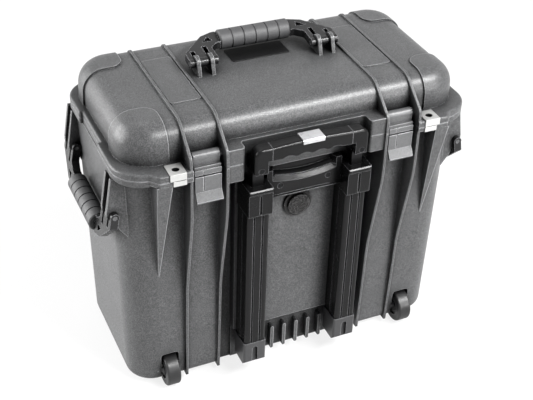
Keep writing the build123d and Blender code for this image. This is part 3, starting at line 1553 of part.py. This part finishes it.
# ---------------------------------------------------------------- blank name plate
with BuildPart() as name_plate:
    with BuildSketch(Plane.XY.offset(lid_top)):
        with Locations((0, (badge_front + badge_back) / 2)):
            RectangleRounded(2 * badge_half, badge_back - badge_front, 2.5)
    extrude(amount=badge_thickness)
    chamfer(name_plate.edges().group_by(Axis.Z)[-1], 0.4)
save(name_plate.part, "name_plate")
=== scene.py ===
"""Hard-shell laptop case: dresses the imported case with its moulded, rubber and metal finishes."""

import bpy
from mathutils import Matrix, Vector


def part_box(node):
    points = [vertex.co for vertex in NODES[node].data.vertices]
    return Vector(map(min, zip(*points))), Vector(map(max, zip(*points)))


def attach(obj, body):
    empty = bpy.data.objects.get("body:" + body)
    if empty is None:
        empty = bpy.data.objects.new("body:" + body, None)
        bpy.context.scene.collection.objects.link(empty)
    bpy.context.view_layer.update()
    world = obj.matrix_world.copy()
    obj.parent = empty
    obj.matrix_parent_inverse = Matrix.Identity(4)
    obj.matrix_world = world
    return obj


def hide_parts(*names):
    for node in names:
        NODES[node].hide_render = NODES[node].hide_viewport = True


bl_info = {
    "name": "Laptop Hard Case",
    "version": (1, 0, 0),
    "blender": (4, 5, 0),
    "location": "View3D > Sidebar > Case",
    "description": "Finishes for a hard-shell laptop case with a trolley handle",
    "category": "Object",
}

import math

import bpy
from bpy.props import FloatProperty, FloatVectorProperty, PointerProperty
from bpy.types import Operator, Panel, PropertyGroup
from mathutils import Matrix, Vector

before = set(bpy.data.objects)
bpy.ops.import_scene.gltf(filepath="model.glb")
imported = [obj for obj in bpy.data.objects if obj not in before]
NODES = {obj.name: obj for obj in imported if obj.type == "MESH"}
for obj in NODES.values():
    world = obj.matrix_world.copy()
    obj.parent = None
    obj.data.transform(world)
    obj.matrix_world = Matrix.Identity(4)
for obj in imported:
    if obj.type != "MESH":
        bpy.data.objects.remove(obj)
SIDES = ("left", "right")
SMOOTH_ANGLE = math.radians(35)

# noise, painted edge highlights and painted hollow shade of the materials, lengths in metres
NOISE_RANGE = (0.3, 0.7)  # where most of a noise lies
SPECKLE_RANGE = (0.4, 0.66)
EDGE_RANGE = (0.985, 0.86)  # cosine between the face and the rounded edge, from no painted highlight to a full one
OPEN_RANGE = (0.6, 0.85)  # how open an edge with a painted highlight lies
HOLLOW_RANGE = (0.35, 0.95)  # how open a spot lies, from a deep hollow to a free face
HOLLOW_REACH = 0.025
HOLLOW_SHINE = 0.15  # share of the shine that is left in a deep hollow
EDGE_SAMPLES = 5
MOTTLE_SIZE = 0.07
MOTTLE = 0.1
CLOUD_SIZE = 0.02
SATIN_GRAIN = 0.0006
SATIN_DEPTH = 0.00004
# painted shade: share of the satin's colour that is left in a deep hollow
SATIN_HOLLOW_SHADE = 0.6
COARSE_GRAIN = 3.1  # times the fine grain
LINES_PER_METRE = 900
LINE_DEPTH = 0.00002

# knob of the pressure valve; shares are of its radius, angles in degrees
KNOB_SIDES = 72
KNOB_RIM = 0.1
KNOB_EYE = 0.3
RING_COUNT = 4
RING_WIDTH = 0.16
RING_TWIST = 25
VANE_PITCH = 60
VANE_WIDTH = 26
VANE_HEIGHT = 0.0006
VANE_BEVEL = 0.00018

# foam lining
CONE_GAIN = 1.6  # the smoothing takes this much off the cones
SLAB_GAIN = 3  # the cones' backing goes past the slab, which then cuts it to size

# stage, lengths in metres
STAGE_MIDDLE = Vector((0, 0, 0.2))  # the lamps look at it
CAMERA_SHIFT = (0.0043145, 0.0010233)  # how far right and up of the middle the camera looks
FLOOR_SIZE = 80.0
FLOOR_GLOW = 0.8  # share of the floor's own pale light in the background rays
LAMPS = {  # direction from the middle, distance, and width and height
    "side": ((-0.86, 0.42, 0.28), 2.2, (1.8, 1.8)),
    "key": ((0.4, -0.55, 0.73), 2.2, (1.3, 0.3)),
    "low": ((0.5, -0.82, 0.28), 2.2, (0.9, 0.9)),
    "top": ((-0.1, 0.3, 0.95), 2.4, (1.6, 1.2)),
}


# ---------------------------------------------------------------- settings
def colour(name, default, description):
    return FloatVectorProperty(
        name=name, description=description, default=default, subtype="COLOR", size=3, min=0.0, max=1.0
    )


class CaseFinish(PropertyGroup):
    """Colours and grain of the case's materials."""

    shell: colour("Shell", (0.06, 0.0605, 0.062), "Moulded polypropylene of tub and lid")
    latch: colour("Latches", (0.095, 0.0955, 0.098), "Moulded latches")
    handle: colour("Handles", (0.01, 0.01, 0.0105), "Moulded handle frames")
    trolley: colour("Trolley", (0.004, 0.004, 0.0042), "Moulded trolley parts")
    rubber: colour("Grips", (0.05, 0.05, 0.052), "Rubber hand grips")
    tube: colour("Tubes", (0.03, 0.03, 0.031), "Anodised trolley tubes")
    plate: colour("Padlock plates", (0.55, 0.55, 0.54), "Bright steel padlock plates")
    steel: colour("Steel", (0.16, 0.16, 0.163), "Pins")
    screw: colour("Screws", (0.03, 0.03, 0.031), "Blackened screws")
    button: colour("Button", (0.5, 0.5, 0.51), "Silver release button")
    tyre: colour("Tyres", (0.01, 0.01, 0.0105), "Polyurethane tyres")
    valve: colour("Valve", (0.008, 0.0077, 0.0077), "Pressure valve")
    foam: colour("Foam", (0.035, 0.036, 0.04), "Open-cell lining foam")
    seal: colour("Seals", (0.03, 0.03, 0.03), "Rubber of the lid's seal and the valve's ring")
    name_plate: colour("Plain plate", (0.003, 0.003, 0.0032), "Blank plate on the lid")
    hub: colour("Wheel hubs", (0.04, 0.04, 0.042), "Moulded wheel hubs")
    grain: FloatProperty(
        name="Shell grain", description="Size of the shell's moulded grain",
        default=0.0013, subtype="DISTANCE", unit="LENGTH"
    )


class CaseFoam(PropertyGroup):
    """Egg-crate foam of the lining."""

    pitch: FloatProperty(
        name="Pitch", description="Distance between two foam cones",
        default=0.036, subtype="DISTANCE", unit="LENGTH"
    )
    lid_depth: FloatProperty(
        name="Lid cones", description="Depth of the cones in the lid",
        default=0.011, subtype="DISTANCE", unit="LENGTH"
    )
    base_depth: FloatProperty(
        name="Base cones", description="Depth of the cones in the tub",
        default=0.006, subtype="DISTANCE", unit="LENGTH"
    )


class CaseStage(PropertyGroup):
    """Camera and light."""

    azimuth: FloatProperty(
        name="Azimuth", description="Camera angle round the case",
        default=math.radians(-24.848), subtype="ANGLE"
    )
    elevation: FloatProperty(
        name="Elevation", description="Camera height angle", default=math.radians(35.290), subtype="ANGLE"
    )
    roll: FloatProperty(name="Roll", description="Camera roll", default=math.radians(1.9636), subtype="ANGLE")
    distance: FloatProperty(
        name="Distance", description="Camera to the middle of the case",
        default=1.594907, subtype="DISTANCE", unit="LENGTH"
    )
    lens: FloatProperty(name="Lens", description="Focal length on a 36 mm frame", default=74.07, min=1.0)
    side: FloatProperty(
        name="Side light", description="Strength of the lamp by the left end", default=100.0, unit="POWER"
    )
    key: FloatProperty(
        name="Key light", description="Strength of the lamp above the front", default=84.0, unit="POWER"
    )
    low: FloatProperty(
        name="Low light", description="Strength of the lamp straight in front", default=24.0, unit="POWER"
    )
    top: FloatProperty(
        name="Top light", description="Strength of the overhead lamp", default=10.0, unit="POWER"
    )
    room: FloatProperty(name="Room light", description="Strength of the even light of the room", default=0.1)


# ---------------------------------------------------------------- materials
def new_material(name):
    """A node material with its tree, its shader and its texture coordinates."""
    material = bpy.data.materials.new(name)
    material.use_nodes = True
    tree = material.node_tree
    shader = tree.nodes["Principled BSDF"]
    place = tree.nodes.new("ShaderNodeTexCoord")
    return material, tree, shader, place


def noise(tree, place, size, detail=3.0, roughness=0.6):
    """Noise on Object coordinates with a feature size in metres."""
    node = tree.nodes.new("ShaderNodeTexNoise")
    node.inputs["Scale"].default_value = 1.0 / size
    node.inputs["Detail"].default_value = detail
    node.inputs["Roughness"].default_value = roughness
    tree.links.new(place.outputs["Object"], node.inputs["Vector"])
    return node


def mapped(tree, source, low, high, new_low, new_high):
    """A value mapped from one range to another, clamped."""
    node = tree.nodes.new("ShaderNodeMapRange")
    tree.links.new(source, node.inputs["Value"])
    span = {"From Min": low, "From Max": high, "To Min": new_low, "To Max": new_high}
    for key, value in span.items():
        node.inputs[key].default_value = value
    return node.outputs["Result"]


def spread(tree, source, new_low, new_high):
    """A noise spread over a new range."""
    return mapped(tree, source, *NOISE_RANGE, new_low, new_high)


def tinted(tree, factor, colour_low, colour_high):
    """A colour between two, by a factor."""
    node = tree.nodes.new("ShaderNodeMix")
    node.data_type = "RGBA"
    tree.links.new(factor, node.inputs["Factor"])
    node.inputs[6].default_value = (*colour_low, 1)
    node.inputs[7].default_value = (*colour_high, 1)
    return node.outputs[2]


def vary_roughness(tree, shader, pattern, rough, swing):
    """Roughness that follows a noise by so much either way, against it where the swing is negative."""
    dull = spread(tree, pattern.outputs["Fac"], rough - swing, rough + swing)
    tree.links.new(dull, shader.inputs["Roughness"])


def bumped(tree, shader, height, distance):
    """Bump from a height value."""
    node = tree.nodes.new("ShaderNodeBump")
    node.inputs["Distance"].default_value = distance
    node.inputs["Strength"].default_value = 1.0
    tree.links.new(height, node.inputs["Height"])
    tree.links.new(node.outputs["Normal"], shader.inputs["Normal"])
    return node


def rounded(tree, shader, bump, radius):
    """Rounds the shading over edges and gives a mask of the outer edges, for painted highlights, and one of
    the hollows, for painted shade; it also dims the shine in the hollows.
    """
    edge = tree.nodes.new("ShaderNodeBevel")
    edge.samples = EDGE_SAMPLES
    edge.inputs["Radius"].default_value = radius
    tree.links.new(edge.outputs["Normal"], bump.inputs["Normal"])
    facing = tree.nodes.new("ShaderNodeNewGeometry")
    turn = tree.nodes.new("ShaderNodeVectorMath")
    turn.operation = "DOT_PRODUCT"
    tree.links.new(edge.outputs["Normal"], turn.inputs[0])
    tree.links.new(facing.outputs["Normal"], turn.inputs[1])
    hollow = tree.nodes.new("ShaderNodeAmbientOcclusion")
    hollow.samples = EDGE_SAMPLES
    hollow.inputs["Distance"].default_value = HOLLOW_REACH
    outer = tree.nodes.new("ShaderNodeMath")
    outer.operation = "MULTIPLY"
    tree.links.new(mapped(tree, turn.outputs["Value"], *EDGE_RANGE, 0.0, 1.0), outer.inputs[0])
    tree.links.new(mapped(tree, hollow.outputs["AO"], *OPEN_RANGE, 0.0, 1.0), outer.inputs[1])
    shine = shader.inputs["Specular IOR Level"]
    full = shine.default_value
    tree.links.new(mapped(tree, hollow.outputs["AO"], *HOLLOW_RANGE, HOLLOW_SHINE * full, full), shine)
    return outer.outputs[0], hollow.outputs["AO"]


def paint_edge_light_and_hollow_shade(tree, source, base, outer, hollow, edge_highlight_gain, hollow_shade_gain):
    """A colour with painted highlights on the outer edges and painted shade in the hollows."""
    # painted shade: the colour is darkened in the hollows by the ambient occlusion
    deep = tree.nodes.new("ShaderNodeHueSaturation")
    tree.links.new(source, deep.inputs["Color"])
    tree.links.new(mapped(tree, hollow, *HOLLOW_RANGE, hollow_shade_gain, 1.0), deep.inputs["Value"])
    # painted highlight: the open outer edges are made paler, up to the base colour times the gain
    edge_highlight_mix = tree.nodes.new("ShaderNodeMix")
    edge_highlight_mix.data_type = "RGBA"
    tree.links.new(outer, edge_highlight_mix.inputs["Factor"])
    tree.links.new(deep.outputs["Color"], edge_highlight_mix.inputs[6])
    edge_highlight_mix.inputs[7].default_value = (*scaled(base, edge_highlight_gain), 1)
    return edge_highlight_mix.outputs[2]


def scaled(colour_value, factor):
    """A colour made paler or darker."""
    return tuple(min(1.0, c * factor) for c in colour_value)


def moulded(
    name, base, grain, depth, rough, speckle=0.35, specular=0.5, edge=0.0, edge_highlight_gain=1.8, hollow_shade_gain=0.55
):
    """Moulded plastic with a pebbled grain, pale speckles on the grain's tops as a painted sparkle of light
    on the grain, and slight mottling; with an edge radius, also painted highlights on the outer edges and
    painted shade in the hollows.
    """
    material, tree, shader, place = new_material(name)
    fine = noise(tree, place, grain, detail=2.0, roughness=0.6)
    coarse = noise(tree, place, grain * COARSE_GRAIN, detail=2.0, roughness=0.5)
    broad = noise(tree, place, MOTTLE_SIZE)
    # painted sparkle: the grain's tops, where the fine noise and the bump are high, are paler, as light
    # catching the grain
    speckles = mapped(tree, fine.outputs["Fac"], *SPECKLE_RANGE, 0.0, 1.0)
    mix = tinted(tree, speckles, scaled(base, 1 - speckle), scaled(base, 1 + speckle * 1.7))
    patch = tree.nodes.new("ShaderNodeHueSaturation")
    tree.links.new(mix, patch.inputs["Color"])
    shift = speckle * 0.4
    tree.links.new(spread(tree, coarse.outputs["Fac"], 1 - shift, 1 + shift), patch.inputs["Value"])
    mottle = tree.nodes.new("ShaderNodeHueSaturation")
    tree.links.new(patch.outputs["Color"], mottle.inputs["Color"])
    tree.links.new(spread(tree, broad.outputs["Fac"], 1 - MOTTLE, 1 + MOTTLE), mottle.inputs["Value"])
    vary_roughness(tree, shader, fine, rough, -0.08)
    shader.inputs["Specular IOR Level"].default_value = specular
    bump = bumped(tree, shader, fine.outputs["Fac"], depth)
    colour_out = mottle.outputs["Color"]
    if edge:
        outer, hollow = rounded(tree, shader, bump, edge)
        colour_out = paint_edge_light_and_hollow_shade(tree, colour_out, base, outer, hollow, edge_highlight_gain, hollow_shade_gain)
    tree.links.new(colour_out, shader.inputs["Base Color"])
    return material


def satin(name, base, rough, metallic=0.0, specular=0.5, wear=0.15, edge=0.0, edge_highlight_gain=2.5):
    """Smooth satin surface with a very fine texture and soft variation; with an edge radius, also painted
    highlights on the outer edges and painted shade in the hollows.
    """
    material, tree, shader, place = new_material(name)
    fine = noise(tree, place, SATIN_GRAIN, detail=2.0)
    broad = noise(tree, place, CLOUD_SIZE, detail=4.0)
    factor = spread(tree, broad.outputs["Fac"], 0.0, 1.0)
    colour_out = tinted(tree, factor, scaled(base, 1 - wear), scaled(base, 1 + wear))
    vary_roughness(tree, shader, broad, rough, 0.06)
    shader.inputs["Metallic"].default_value = metallic
    shader.inputs["Specular IOR Level"].default_value = specular
    bump = bumped(tree, shader, fine.outputs["Fac"], SATIN_DEPTH)
    if edge:
        outer, hollow = rounded(tree, shader, bump, edge)
        colour_out = paint_edge_light_and_hollow_shade(tree, colour_out, base, outer, hollow, edge_highlight_gain, SATIN_HOLLOW_SHADE)
    tree.links.new(colour_out, shader.inputs["Base Color"])
    return material


def drawn_metal(name, base, rough, stretch):
    """Metal with drawing lines along one axis, as on tubes and pins."""
    material, tree, shader, place = new_material(name)
    turn = tree.nodes.new("ShaderNodeMapping")
    turn.inputs["Scale"].default_value = stretch
    tree.links.new(place.outputs["Object"], turn.inputs["Vector"])
    lines = tree.nodes.new("ShaderNodeTexNoise")
    lines.inputs["Scale"].default_value = LINES_PER_METRE
    lines.inputs["Detail"].default_value = 2
    tree.links.new(turn.outputs["Vector"], lines.inputs["Vector"])
    factor = spread(tree, lines.outputs["Fac"], 0.0, 1.0)
    colour_out = tinted(tree, factor, scaled(base, 0.88), scaled(base, 1.1))
    vary_roughness(tree, shader, lines, rough, 0.07)
    shader.inputs["Metallic"].default_value = 1.0
    bumped(tree, shader, lines.outputs["Fac"], LINE_DEPTH)
    tree.links.new(colour_out, shader.inputs["Base Color"])
    return material


# ---------------------------------------------------------------- carried-over nodes
def dress(node, material):
    """Gives a CAD node its material."""
    piece = NODES[node]
    piece.data.materials.clear()
    piece.data.materials.append(material)


def both(name):
    """The names of a left and a right node."""
    return tuple(f"{name}_{side}" for side in SIDES)


# ---------------------------------------------------------------- modelling helpers
def clear():
    """Object mode with nothing selected."""
    if bpy.context.mode != "OBJECT":
        bpy.ops.object.mode_set(mode="OBJECT")
    bpy.ops.object.select_all(action="DESELECT")


def placed(name):
    """Names the primitive that was just added and moves its place into its mesh."""
    piece = bpy.context.active_object
    piece.name = name
    bpy.ops.object.transform_apply(location=True, rotation=True, scale=True)
    return piece


def pick(piece, kind, test):
    """In edit mode, selects the vertices or faces that pass a test."""
    if bpy.context.mode != "OBJECT":
        bpy.ops.object.mode_set(mode="OBJECT")
    mesh = piece.data
    for group in (mesh.vertices, mesh.edges, mesh.polygons):
        group.foreach_set("select", [False] * len(group))
    items = mesh.polygons if kind == "FACE" else mesh.vertices
    items.foreach_set("select", [bool(test(item)) for item in items])
    bpy.context.tool_settings.mesh_select_mode = (kind == "VERT", False, kind == "FACE")
    bpy.ops.object.mode_set(mode="EDIT")


def finish_piece(piece, material, slot, body, *nodes):
    """Applies the modifiers, gives the material, and says what the piece rides on and replaces."""
    clear()
    bpy.context.view_layer.objects.active = piece
    piece.select_set(True)
    for modifier in list(piece.modifiers):
        bpy.ops.object.modifier_apply(modifier=modifier.name)
    bpy.ops.object.shade_smooth_by_angle(angle=SMOOTH_ANGLE)
    piece.data.materials.clear()
    piece.data.materials.append(material)
    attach(piece, body)
    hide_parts(*nodes)
    clear()


def background_rays(tree):
    """1 for the rays that see the pale background: straight from the camera, mirrored, or through glass."""
    path = tree.nodes.new("ShaderNodeLightPath")
    total = path.outputs["Is Camera Ray"]
    for kind in ("Is Glossy Ray", "Is Transmission Ray"):
        either = tree.nodes.new("ShaderNodeMath")
        either.operation = "MAXIMUM"
        tree.links.new(total, either.inputs[0])
        tree.links.new(path.outputs[kind], either.inputs[1])
        total = either.outputs[0]
    return total


# ---------------------------------------------------------------- operators
class CASE_OT_shell(Operator):
    """Grained moulding of tub and lid"""

    bl_idname = "case.shell"
    bl_label = "Tub and lid"

    def execute(self, context):
        finish = context.scene.case_finish
        # the edge settings paint highlights on the shell's edges and the hollow settings paint shade in its
        # hollows
        grained = moulded(
            "shell moulding", tuple(finish.shell), finish.grain, 0.0001, 0.36,
            speckle=0.4, specular=0.4, edge=0.0018, edge_highlight_gain=6.5, hollow_shade_gain=0.2,
        )
        for node in ("base_shell", "lid_shell"):
            dress(node, grained)
        dress("lid_seal", satin("seal rubber", tuple(finish.seal), 0.7))
        plain = satin("plain plate", tuple(finish.name_plate), 0.5, specular=0.2, edge=0.0004)
        dress("name_plate", plain)
        return {"FINISHED"}


class CASE_OT_valve(Operator):
    """Pressure valve with its swirled knob"""

    bl_idname = "case.valve"
    bl_label = "Pressure valve"

    def execute(self, context):
        finish = context.scene.case_finish
        # the large edge gain paints highlights on the valve's edges
        valve = satin("valve moulding", tuple(finish.valve), 0.26, specular=0.3, edge=0.0006, edge_highlight_gain=32.0)
        for node in ("valve_body", "valve_nut"):
            dress(node, valve)
        dress("valve_seal", bpy.data.materials["seal rubber"])
        low, high = (Vector(corner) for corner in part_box("valve_cap"))
        middle = (low + high) / 2
        radius = (high.x - low.x) / 2
        clear()
        bpy.ops.mesh.primitive_cylinder_add(
            vertices=KNOB_SIDES, radius=radius, depth=high.y - low.y,
            location=middle, rotation=(math.pi / 2, 0, 0)
        )
        knob = placed("valve_knob")
        pick(knob, "FACE", lambda face: face.normal.y < -0.9)
        bpy.ops.mesh.inset(thickness=radius * KNOB_RIM)
        bpy.ops.transform.translate(value=(0, VANE_HEIGHT, 0))
        step = radius * RING_WIDTH
        for _ in range(RING_COUNT):
            bpy.ops.mesh.inset(thickness=step)
        field = radius * (1 - KNOB_RIM)
        rings = [field - step * (count + 0.5) for count in range(RING_COUNT)]

        def on_vane(face):
            spot = face.center - middle
            reach = math.hypot(spot.x, spot.z)
            if spot.y > 0 or face.normal.y > -0.9 or reach > field or reach < radius * KNOB_EYE:
                return False
            ring = min(range(RING_COUNT), key=lambda count: abs(rings[count] - reach))
            sector = math.degrees(math.atan2(spot.z, spot.x)) + RING_TWIST * ring
            return sector % VANE_PITCH < VANE_WIDTH

        pick(knob, "FACE", on_vane)
        bpy.ops.mesh.extrude_region_move(TRANSFORM_OT_translate={"value": (0, -VANE_HEIGHT, 0)})
        bpy.ops.object.mode_set(mode="OBJECT")
        bevel = knob.modifiers.new("Edges", "BEVEL")
        bevel.width = VANE_BEVEL
        bevel.segments = 2
        finish_piece(knob, valve, "valve", "base", "valve_cap")
        return {"FINISHED"}


class CASE_OT_latches(Operator):
    """Draw latches, hinge pins and padlock plates"""

    bl_idname = "case.latches"
    bl_label = "Latches and plates"

    def execute(self, context):
        finish = context.scene.case_finish
        latch = moulded(
            "latch moulding", tuple(finish.latch), 0.0009, 0.00006, 0.32,
            speckle=0.25, edge=0.0013, edge_highlight_gain=6.0,
        )
        steel = drawn_metal("pin steel", tuple(finish.steel), 0.32, (1, 12, 12))
        for node in both("latch_link") + both("latch_lever"):
            dress(node, latch)
        for node in both("latch_pin") + both("lever_pin") + both("hinge_pin"):
            dress(node, steel)
        plate = satin(
            "plate steel", tuple(finish.plate), 0.34, metallic=0.6, wear=0.08, edge=0.0005, edge_highlight_gain=1.3
        )
        for node in ("padlock_plates_lid", "padlock_plates_base"):
            dress(node, plate)
        return {"FINISHED"}


class CASE_OT_handles(Operator):
    """Folding handles on the top and the sides"""

    bl_idname = "case.handles"
    bl_label = "Folding handles"

    def execute(self, context):
        finish = context.scene.case_finish
        # the large edge gain paints highlights on the handle frames' edges
        frame_finish = satin(
            "handle moulding", tuple(finish.handle), 0.24, specular=0.35, edge=0.0014, edge_highlight_gain=25.0
        )
        rubber = moulded("grip rubber", tuple(finish.rubber), 0.0008, 0.0001, 0.55, speckle=0.15, edge=0.0008)
        dress("top_handle_frame", frame_finish)
        dress("top_handle_grip", rubber)
        dress("top_handle_pins", bpy.data.materials["pin steel"])
        for side in SIDES:
            dress(f"side_handle_frame_{side}", frame_finish)
            dress(f"side_handle_grip_{side}", rubber)
            dress(f"side_handle_pins_{side}", bpy.data.materials["pin steel"])
        return {"FINISHED"}


class CASE_OT_trolley(Operator):
    """Telescopic trolley handle with its rails, collars, grip and release button"""

    bl_idname = "case.trolley"
    bl_label = "Trolley"

    def execute(self, context):
        finish = context.scene.case_finish
        # the large edge gains paint highlights on the trolley's and the feet's edges
        body = satin(
            "trolley moulding", tuple(finish.trolley), 0.22, specular=0.22, edge=0.0011, edge_highlight_gain=48.0
        )
        foot = satin("foot moulding", scaled(tuple(finish.trolley), 8.0), 0.38, edge=0.0014, edge_highlight_gain=8.0)
        tube = drawn_metal("tube aluminium", tuple(finish.tube), 0.35, (12, 12, 1))
        screw = drawn_metal("screw steel", tuple(finish.screw), 0.35, (1, 1, 1))
        for node in both("trolley_rail") + both("trolley_collar") + both("trolley_grip_corner"):
            dress(node, body)
        for node in both("trolley_foot"):
            dress(node, foot)
        for node in ("trolley_grip", "trolley_cross_plate"):
            dress(node, body)
        for node in both("mid_tube") + both("inner_tube"):
            dress(node, tube)
        for node in ("cross_plate_screws", "grip_screws"):
            dress(node, screw)
        silver = satin("silver button", tuple(finish.button), 0.3, metallic=0.6, edge=0.0006, edge_highlight_gain=1.2)
        dress("trolley_button", silver)
        for node in ("release_linkage", "button_spring"):
            dress(node, bpy.data.materials["pin steel"])
        return {"FINISHED"}


class CASE_OT_wheels(Operator):
    """Corner wheels"""

    bl_idname = "case.wheels"
    bl_label = "Wheels"

    def execute(self, context):
        finish = context.scene.case_finish
        tyre = satin("tyre polyurethane", tuple(finish.tyre), 0.4, edge=0.001)
        hub = satin("hub moulding", tuple(finish.hub), 0.4, edge=0.0008)
        for node in both("wheel_tyre"):
            dress(node, tyre)
        for node in both("wheel_hub"):
            dress(node, hub)
        for node in both("wheel_bearings") + both("wheel_axle"):
            dress(node, bpy.data.materials["pin steel"])
        return {"FINISHED"}


class CASE_OT_foam(Operator):
    """Egg-crate foam lining of lid and tub"""

    bl_idname = "case.foam"
    bl_label = "Foam lining"

    def crate(self, node, name, depth, pitch, material, body, down):
        """Foam slab with cones on its lower or upper face, cut to the outline of the CAD solid."""
        low, high = (Vector(corner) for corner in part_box(node))
        size = high - low
        middle = (low + high) / 2
        face_z = low.z if down else high.z
        toward = 1 if down else -1
        across = 2 * math.ceil(size.x / pitch) + 2
        along = 2 * math.ceil(size.y / pitch) + 2
        clear()
        bpy.ops.mesh.primitive_grid_add(
            x_subdivisions=across, y_subdivisions=along, size=1, location=(middle.x, middle.y, face_z)
        )
        bpy.context.active_object.scale = (across * pitch / 2, along * pitch / 2, 1)
        pad = placed(name)
        left, front = middle.x - across * pitch / 4, middle.y - along * pitch / 4
        half = pitch / 2
        pick(pad, "VERT", lambda v: (round((v.co.x - left) / half) + round((v.co.y - front) / half)) % 2)
        bpy.ops.transform.translate(value=(0, 0, toward * depth * CONE_GAIN))
        bpy.ops.object.mode_set(mode="OBJECT")
        soft = pad.modifiers.new("Cones", "SUBSURF")
        soft.levels = soft.render_levels = 2
        bpy.ops.object.modifier_apply(modifier=soft.name)
        bpy.ops.object.mode_set(mode="EDIT")
        bpy.ops.mesh.select_all(action="SELECT")
        backing = (0, 0, toward * size.z * SLAB_GAIN)
        bpy.ops.mesh.extrude_region_move(TRANSFORM_OT_translate={"value": backing})
        bpy.ops.mesh.select_all(action="SELECT")
        bpy.ops.mesh.normals_make_consistent(inside=False)
        bpy.ops.object.mode_set(mode="OBJECT")
        cut = pad.modifiers.new("Outline", "BOOLEAN")
        cut.operation = "INTERSECT"
        cut.solver = "EXACT"
        cut.object = NODES[node]
        finish_piece(pad, material, "foam", body, node)

    def execute(self, context):
        finish = context.scene.case_finish
        sizes = context.scene.case_foam
        foam = moulded("lining foam", tuple(finish.foam), 0.0012, 0.0006, 0.9, speckle=0.5, specular=0.1)
        self.crate("lid_foam", "lid_lining", sizes.lid_depth, sizes.pitch, foam, "lid", True)
        self.crate("base_foam", "base_lining", sizes.base_depth, sizes.pitch, foam, "base", False)
        return {"FINISHED"}


class CASE_OT_stage(Operator):
    """Floor, lamps and camera"""

    bl_idname = "case.stage"
    bl_label = "Stage"

    def lamp(self, name, place, target, size, power):
        """A rectangular lamp that looks at its target."""
        data = bpy.data.lights.new(name, "AREA")
        data.shape = "RECTANGLE"
        data.size, data.size_y = size
        data.energy = power
        lamp = bpy.data.objects.new(name, data)
        bpy.context.scene.collection.objects.link(lamp)
        lamp.location = place
        lamp.rotation_euler = (target - place).to_track_quat("-Z", "Y").to_euler()

    def execute(self, context):
        stage = context.scene.case_stage
        bpy.ops.mesh.primitive_plane_add(size=FLOOR_SIZE, location=(0, 0, 0))
        floor = context.active_object
        floor.name = "floor"
        material = bpy.data.materials.new("pale floor")
        material.use_nodes = True
        tree = material.node_tree
        shader = tree.nodes["Principled BSDF"]
        shader.inputs["Base Color"].default_value = (0.9, 0.9, 0.9, 1)
        shader.inputs["Roughness"].default_value = 0.9
        glow = tree.nodes.new("ShaderNodeEmission")
        glow.inputs["Strength"].default_value = 1.0
        share = tree.nodes.new("ShaderNodeMath")
        share.operation = "MULTIPLY"
        share.inputs[1].default_value = FLOOR_GLOW
        tree.links.new(background_rays(tree), share.inputs[0])
        blend = tree.nodes.new("ShaderNodeMixShader")
        tree.links.new(share.outputs[0], blend.inputs["Fac"])
        tree.links.new(shader.outputs[0], blend.inputs[1])
        tree.links.new(glow.outputs[0], blend.inputs[2])
        tree.links.new(blend.outputs[0], tree.nodes["Material Output"].inputs["Surface"])
        floor.data.materials.append(material)

        world = bpy.data.worlds.new("room")
        context.scene.world = world
        world.use_nodes = True
        tree = world.node_tree
        room = tree.nodes["Background"]
        room.inputs["Color"].default_value = (1, 1, 1, 1)
        room.inputs["Strength"].default_value = stage.room
        white = tree.nodes.new("ShaderNodeBackground")
        white.inputs["Strength"].default_value = 1.0
        white.inputs["Color"].default_value = (1, 1, 1, 1)
        blend = tree.nodes.new("ShaderNodeMixShader")
        tree.links.new(background_rays(tree), blend.inputs["Fac"])
        tree.links.new(room.outputs[0], blend.inputs[1])
        tree.links.new(white.outputs[0], blend.inputs[2])
        tree.links.new(blend.outputs[0], tree.nodes["World Output"].inputs["Surface"])

        for name, (direction, distance, size) in LAMPS.items():
            place = STAGE_MIDDLE + distance * Vector(direction)
            self.lamp(name, place, STAGE_MIDDLE, size, getattr(stage, name))

        azimuth, elevation, roll = stage.azimuth, stage.elevation, stage.roll
        back = Vector((
            math.sin(azimuth) * math.cos(elevation),
            -math.cos(azimuth) * math.cos(elevation),
            math.sin(elevation),
        ))
        right = Vector((math.cos(azimuth), math.sin(azimuth), 0))
        up = back.cross(right)
        target = STAGE_MIDDLE + right * CAMERA_SHIFT[0] + up * CAMERA_SHIFT[1]
        turned_right = right * math.cos(roll) + up * math.sin(roll)
        turned_up = up * math.cos(roll) - right * math.sin(roll)
        data = bpy.data.cameras.new("camera")
        data.lens = stage.lens
        data.sensor_width = 36.0
        data.clip_start, data.clip_end = 0.05, 50.0
        camera = bpy.data.objects.new("camera", data)
        context.scene.collection.objects.link(camera)
        turn = Matrix((turned_right, turned_up, back)).transposed()
        camera.matrix_world = Matrix.Translation(target + back * stage.distance) @ turn.to_4x4()
        context.scene.camera = camera
        context.scene.view_settings.view_transform = "Standard"
        return {"FINISHED"}


class CASE_PT_panel(Panel):
    """Buttons for the case's pieces"""

    bl_idname = "CASE_PT_panel"
    bl_label = "Laptop Hard Case"
    bl_space_type = "VIEW_3D"
    bl_region_type = "UI"
    bl_category = "Case"

    def draw(self, context):
        layout = self.layout
        for step in STEPS:
            layout.operator(f"case.{step}")


STEPS = ("shell", "valve", "latches", "handles", "trolley", "wheels", "foam", "stage")
CLASSES = (
    CaseFinish, CaseFoam, CaseStage,
    CASE_OT_shell, CASE_OT_valve, CASE_OT_latches, CASE_OT_handles,
    CASE_OT_trolley, CASE_OT_wheels, CASE_OT_foam, CASE_OT_stage, CASE_PT_panel,
)


def register():
    for entry in CLASSES:
        bpy.utils.register_class(entry)
    bpy.types.Scene.case_finish = PointerProperty(type=CaseFinish)
    bpy.types.Scene.case_foam = PointerProperty(type=CaseFoam)
    bpy.types.Scene.case_stage = PointerProperty(type=CaseStage)


def unregister():
    del bpy.types.Scene.case_finish
    del bpy.types.Scene.case_foam
    del bpy.types.Scene.case_stage
    for entry in reversed(CLASSES):
        bpy.utils.unregister_class(entry)


def main():
    register()
    bpy.ops.object.select_all(action="DESELECT")
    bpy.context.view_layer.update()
    for step in STEPS:
        getattr(bpy.ops.case, step)()


if __name__ == "__main__":
    main()
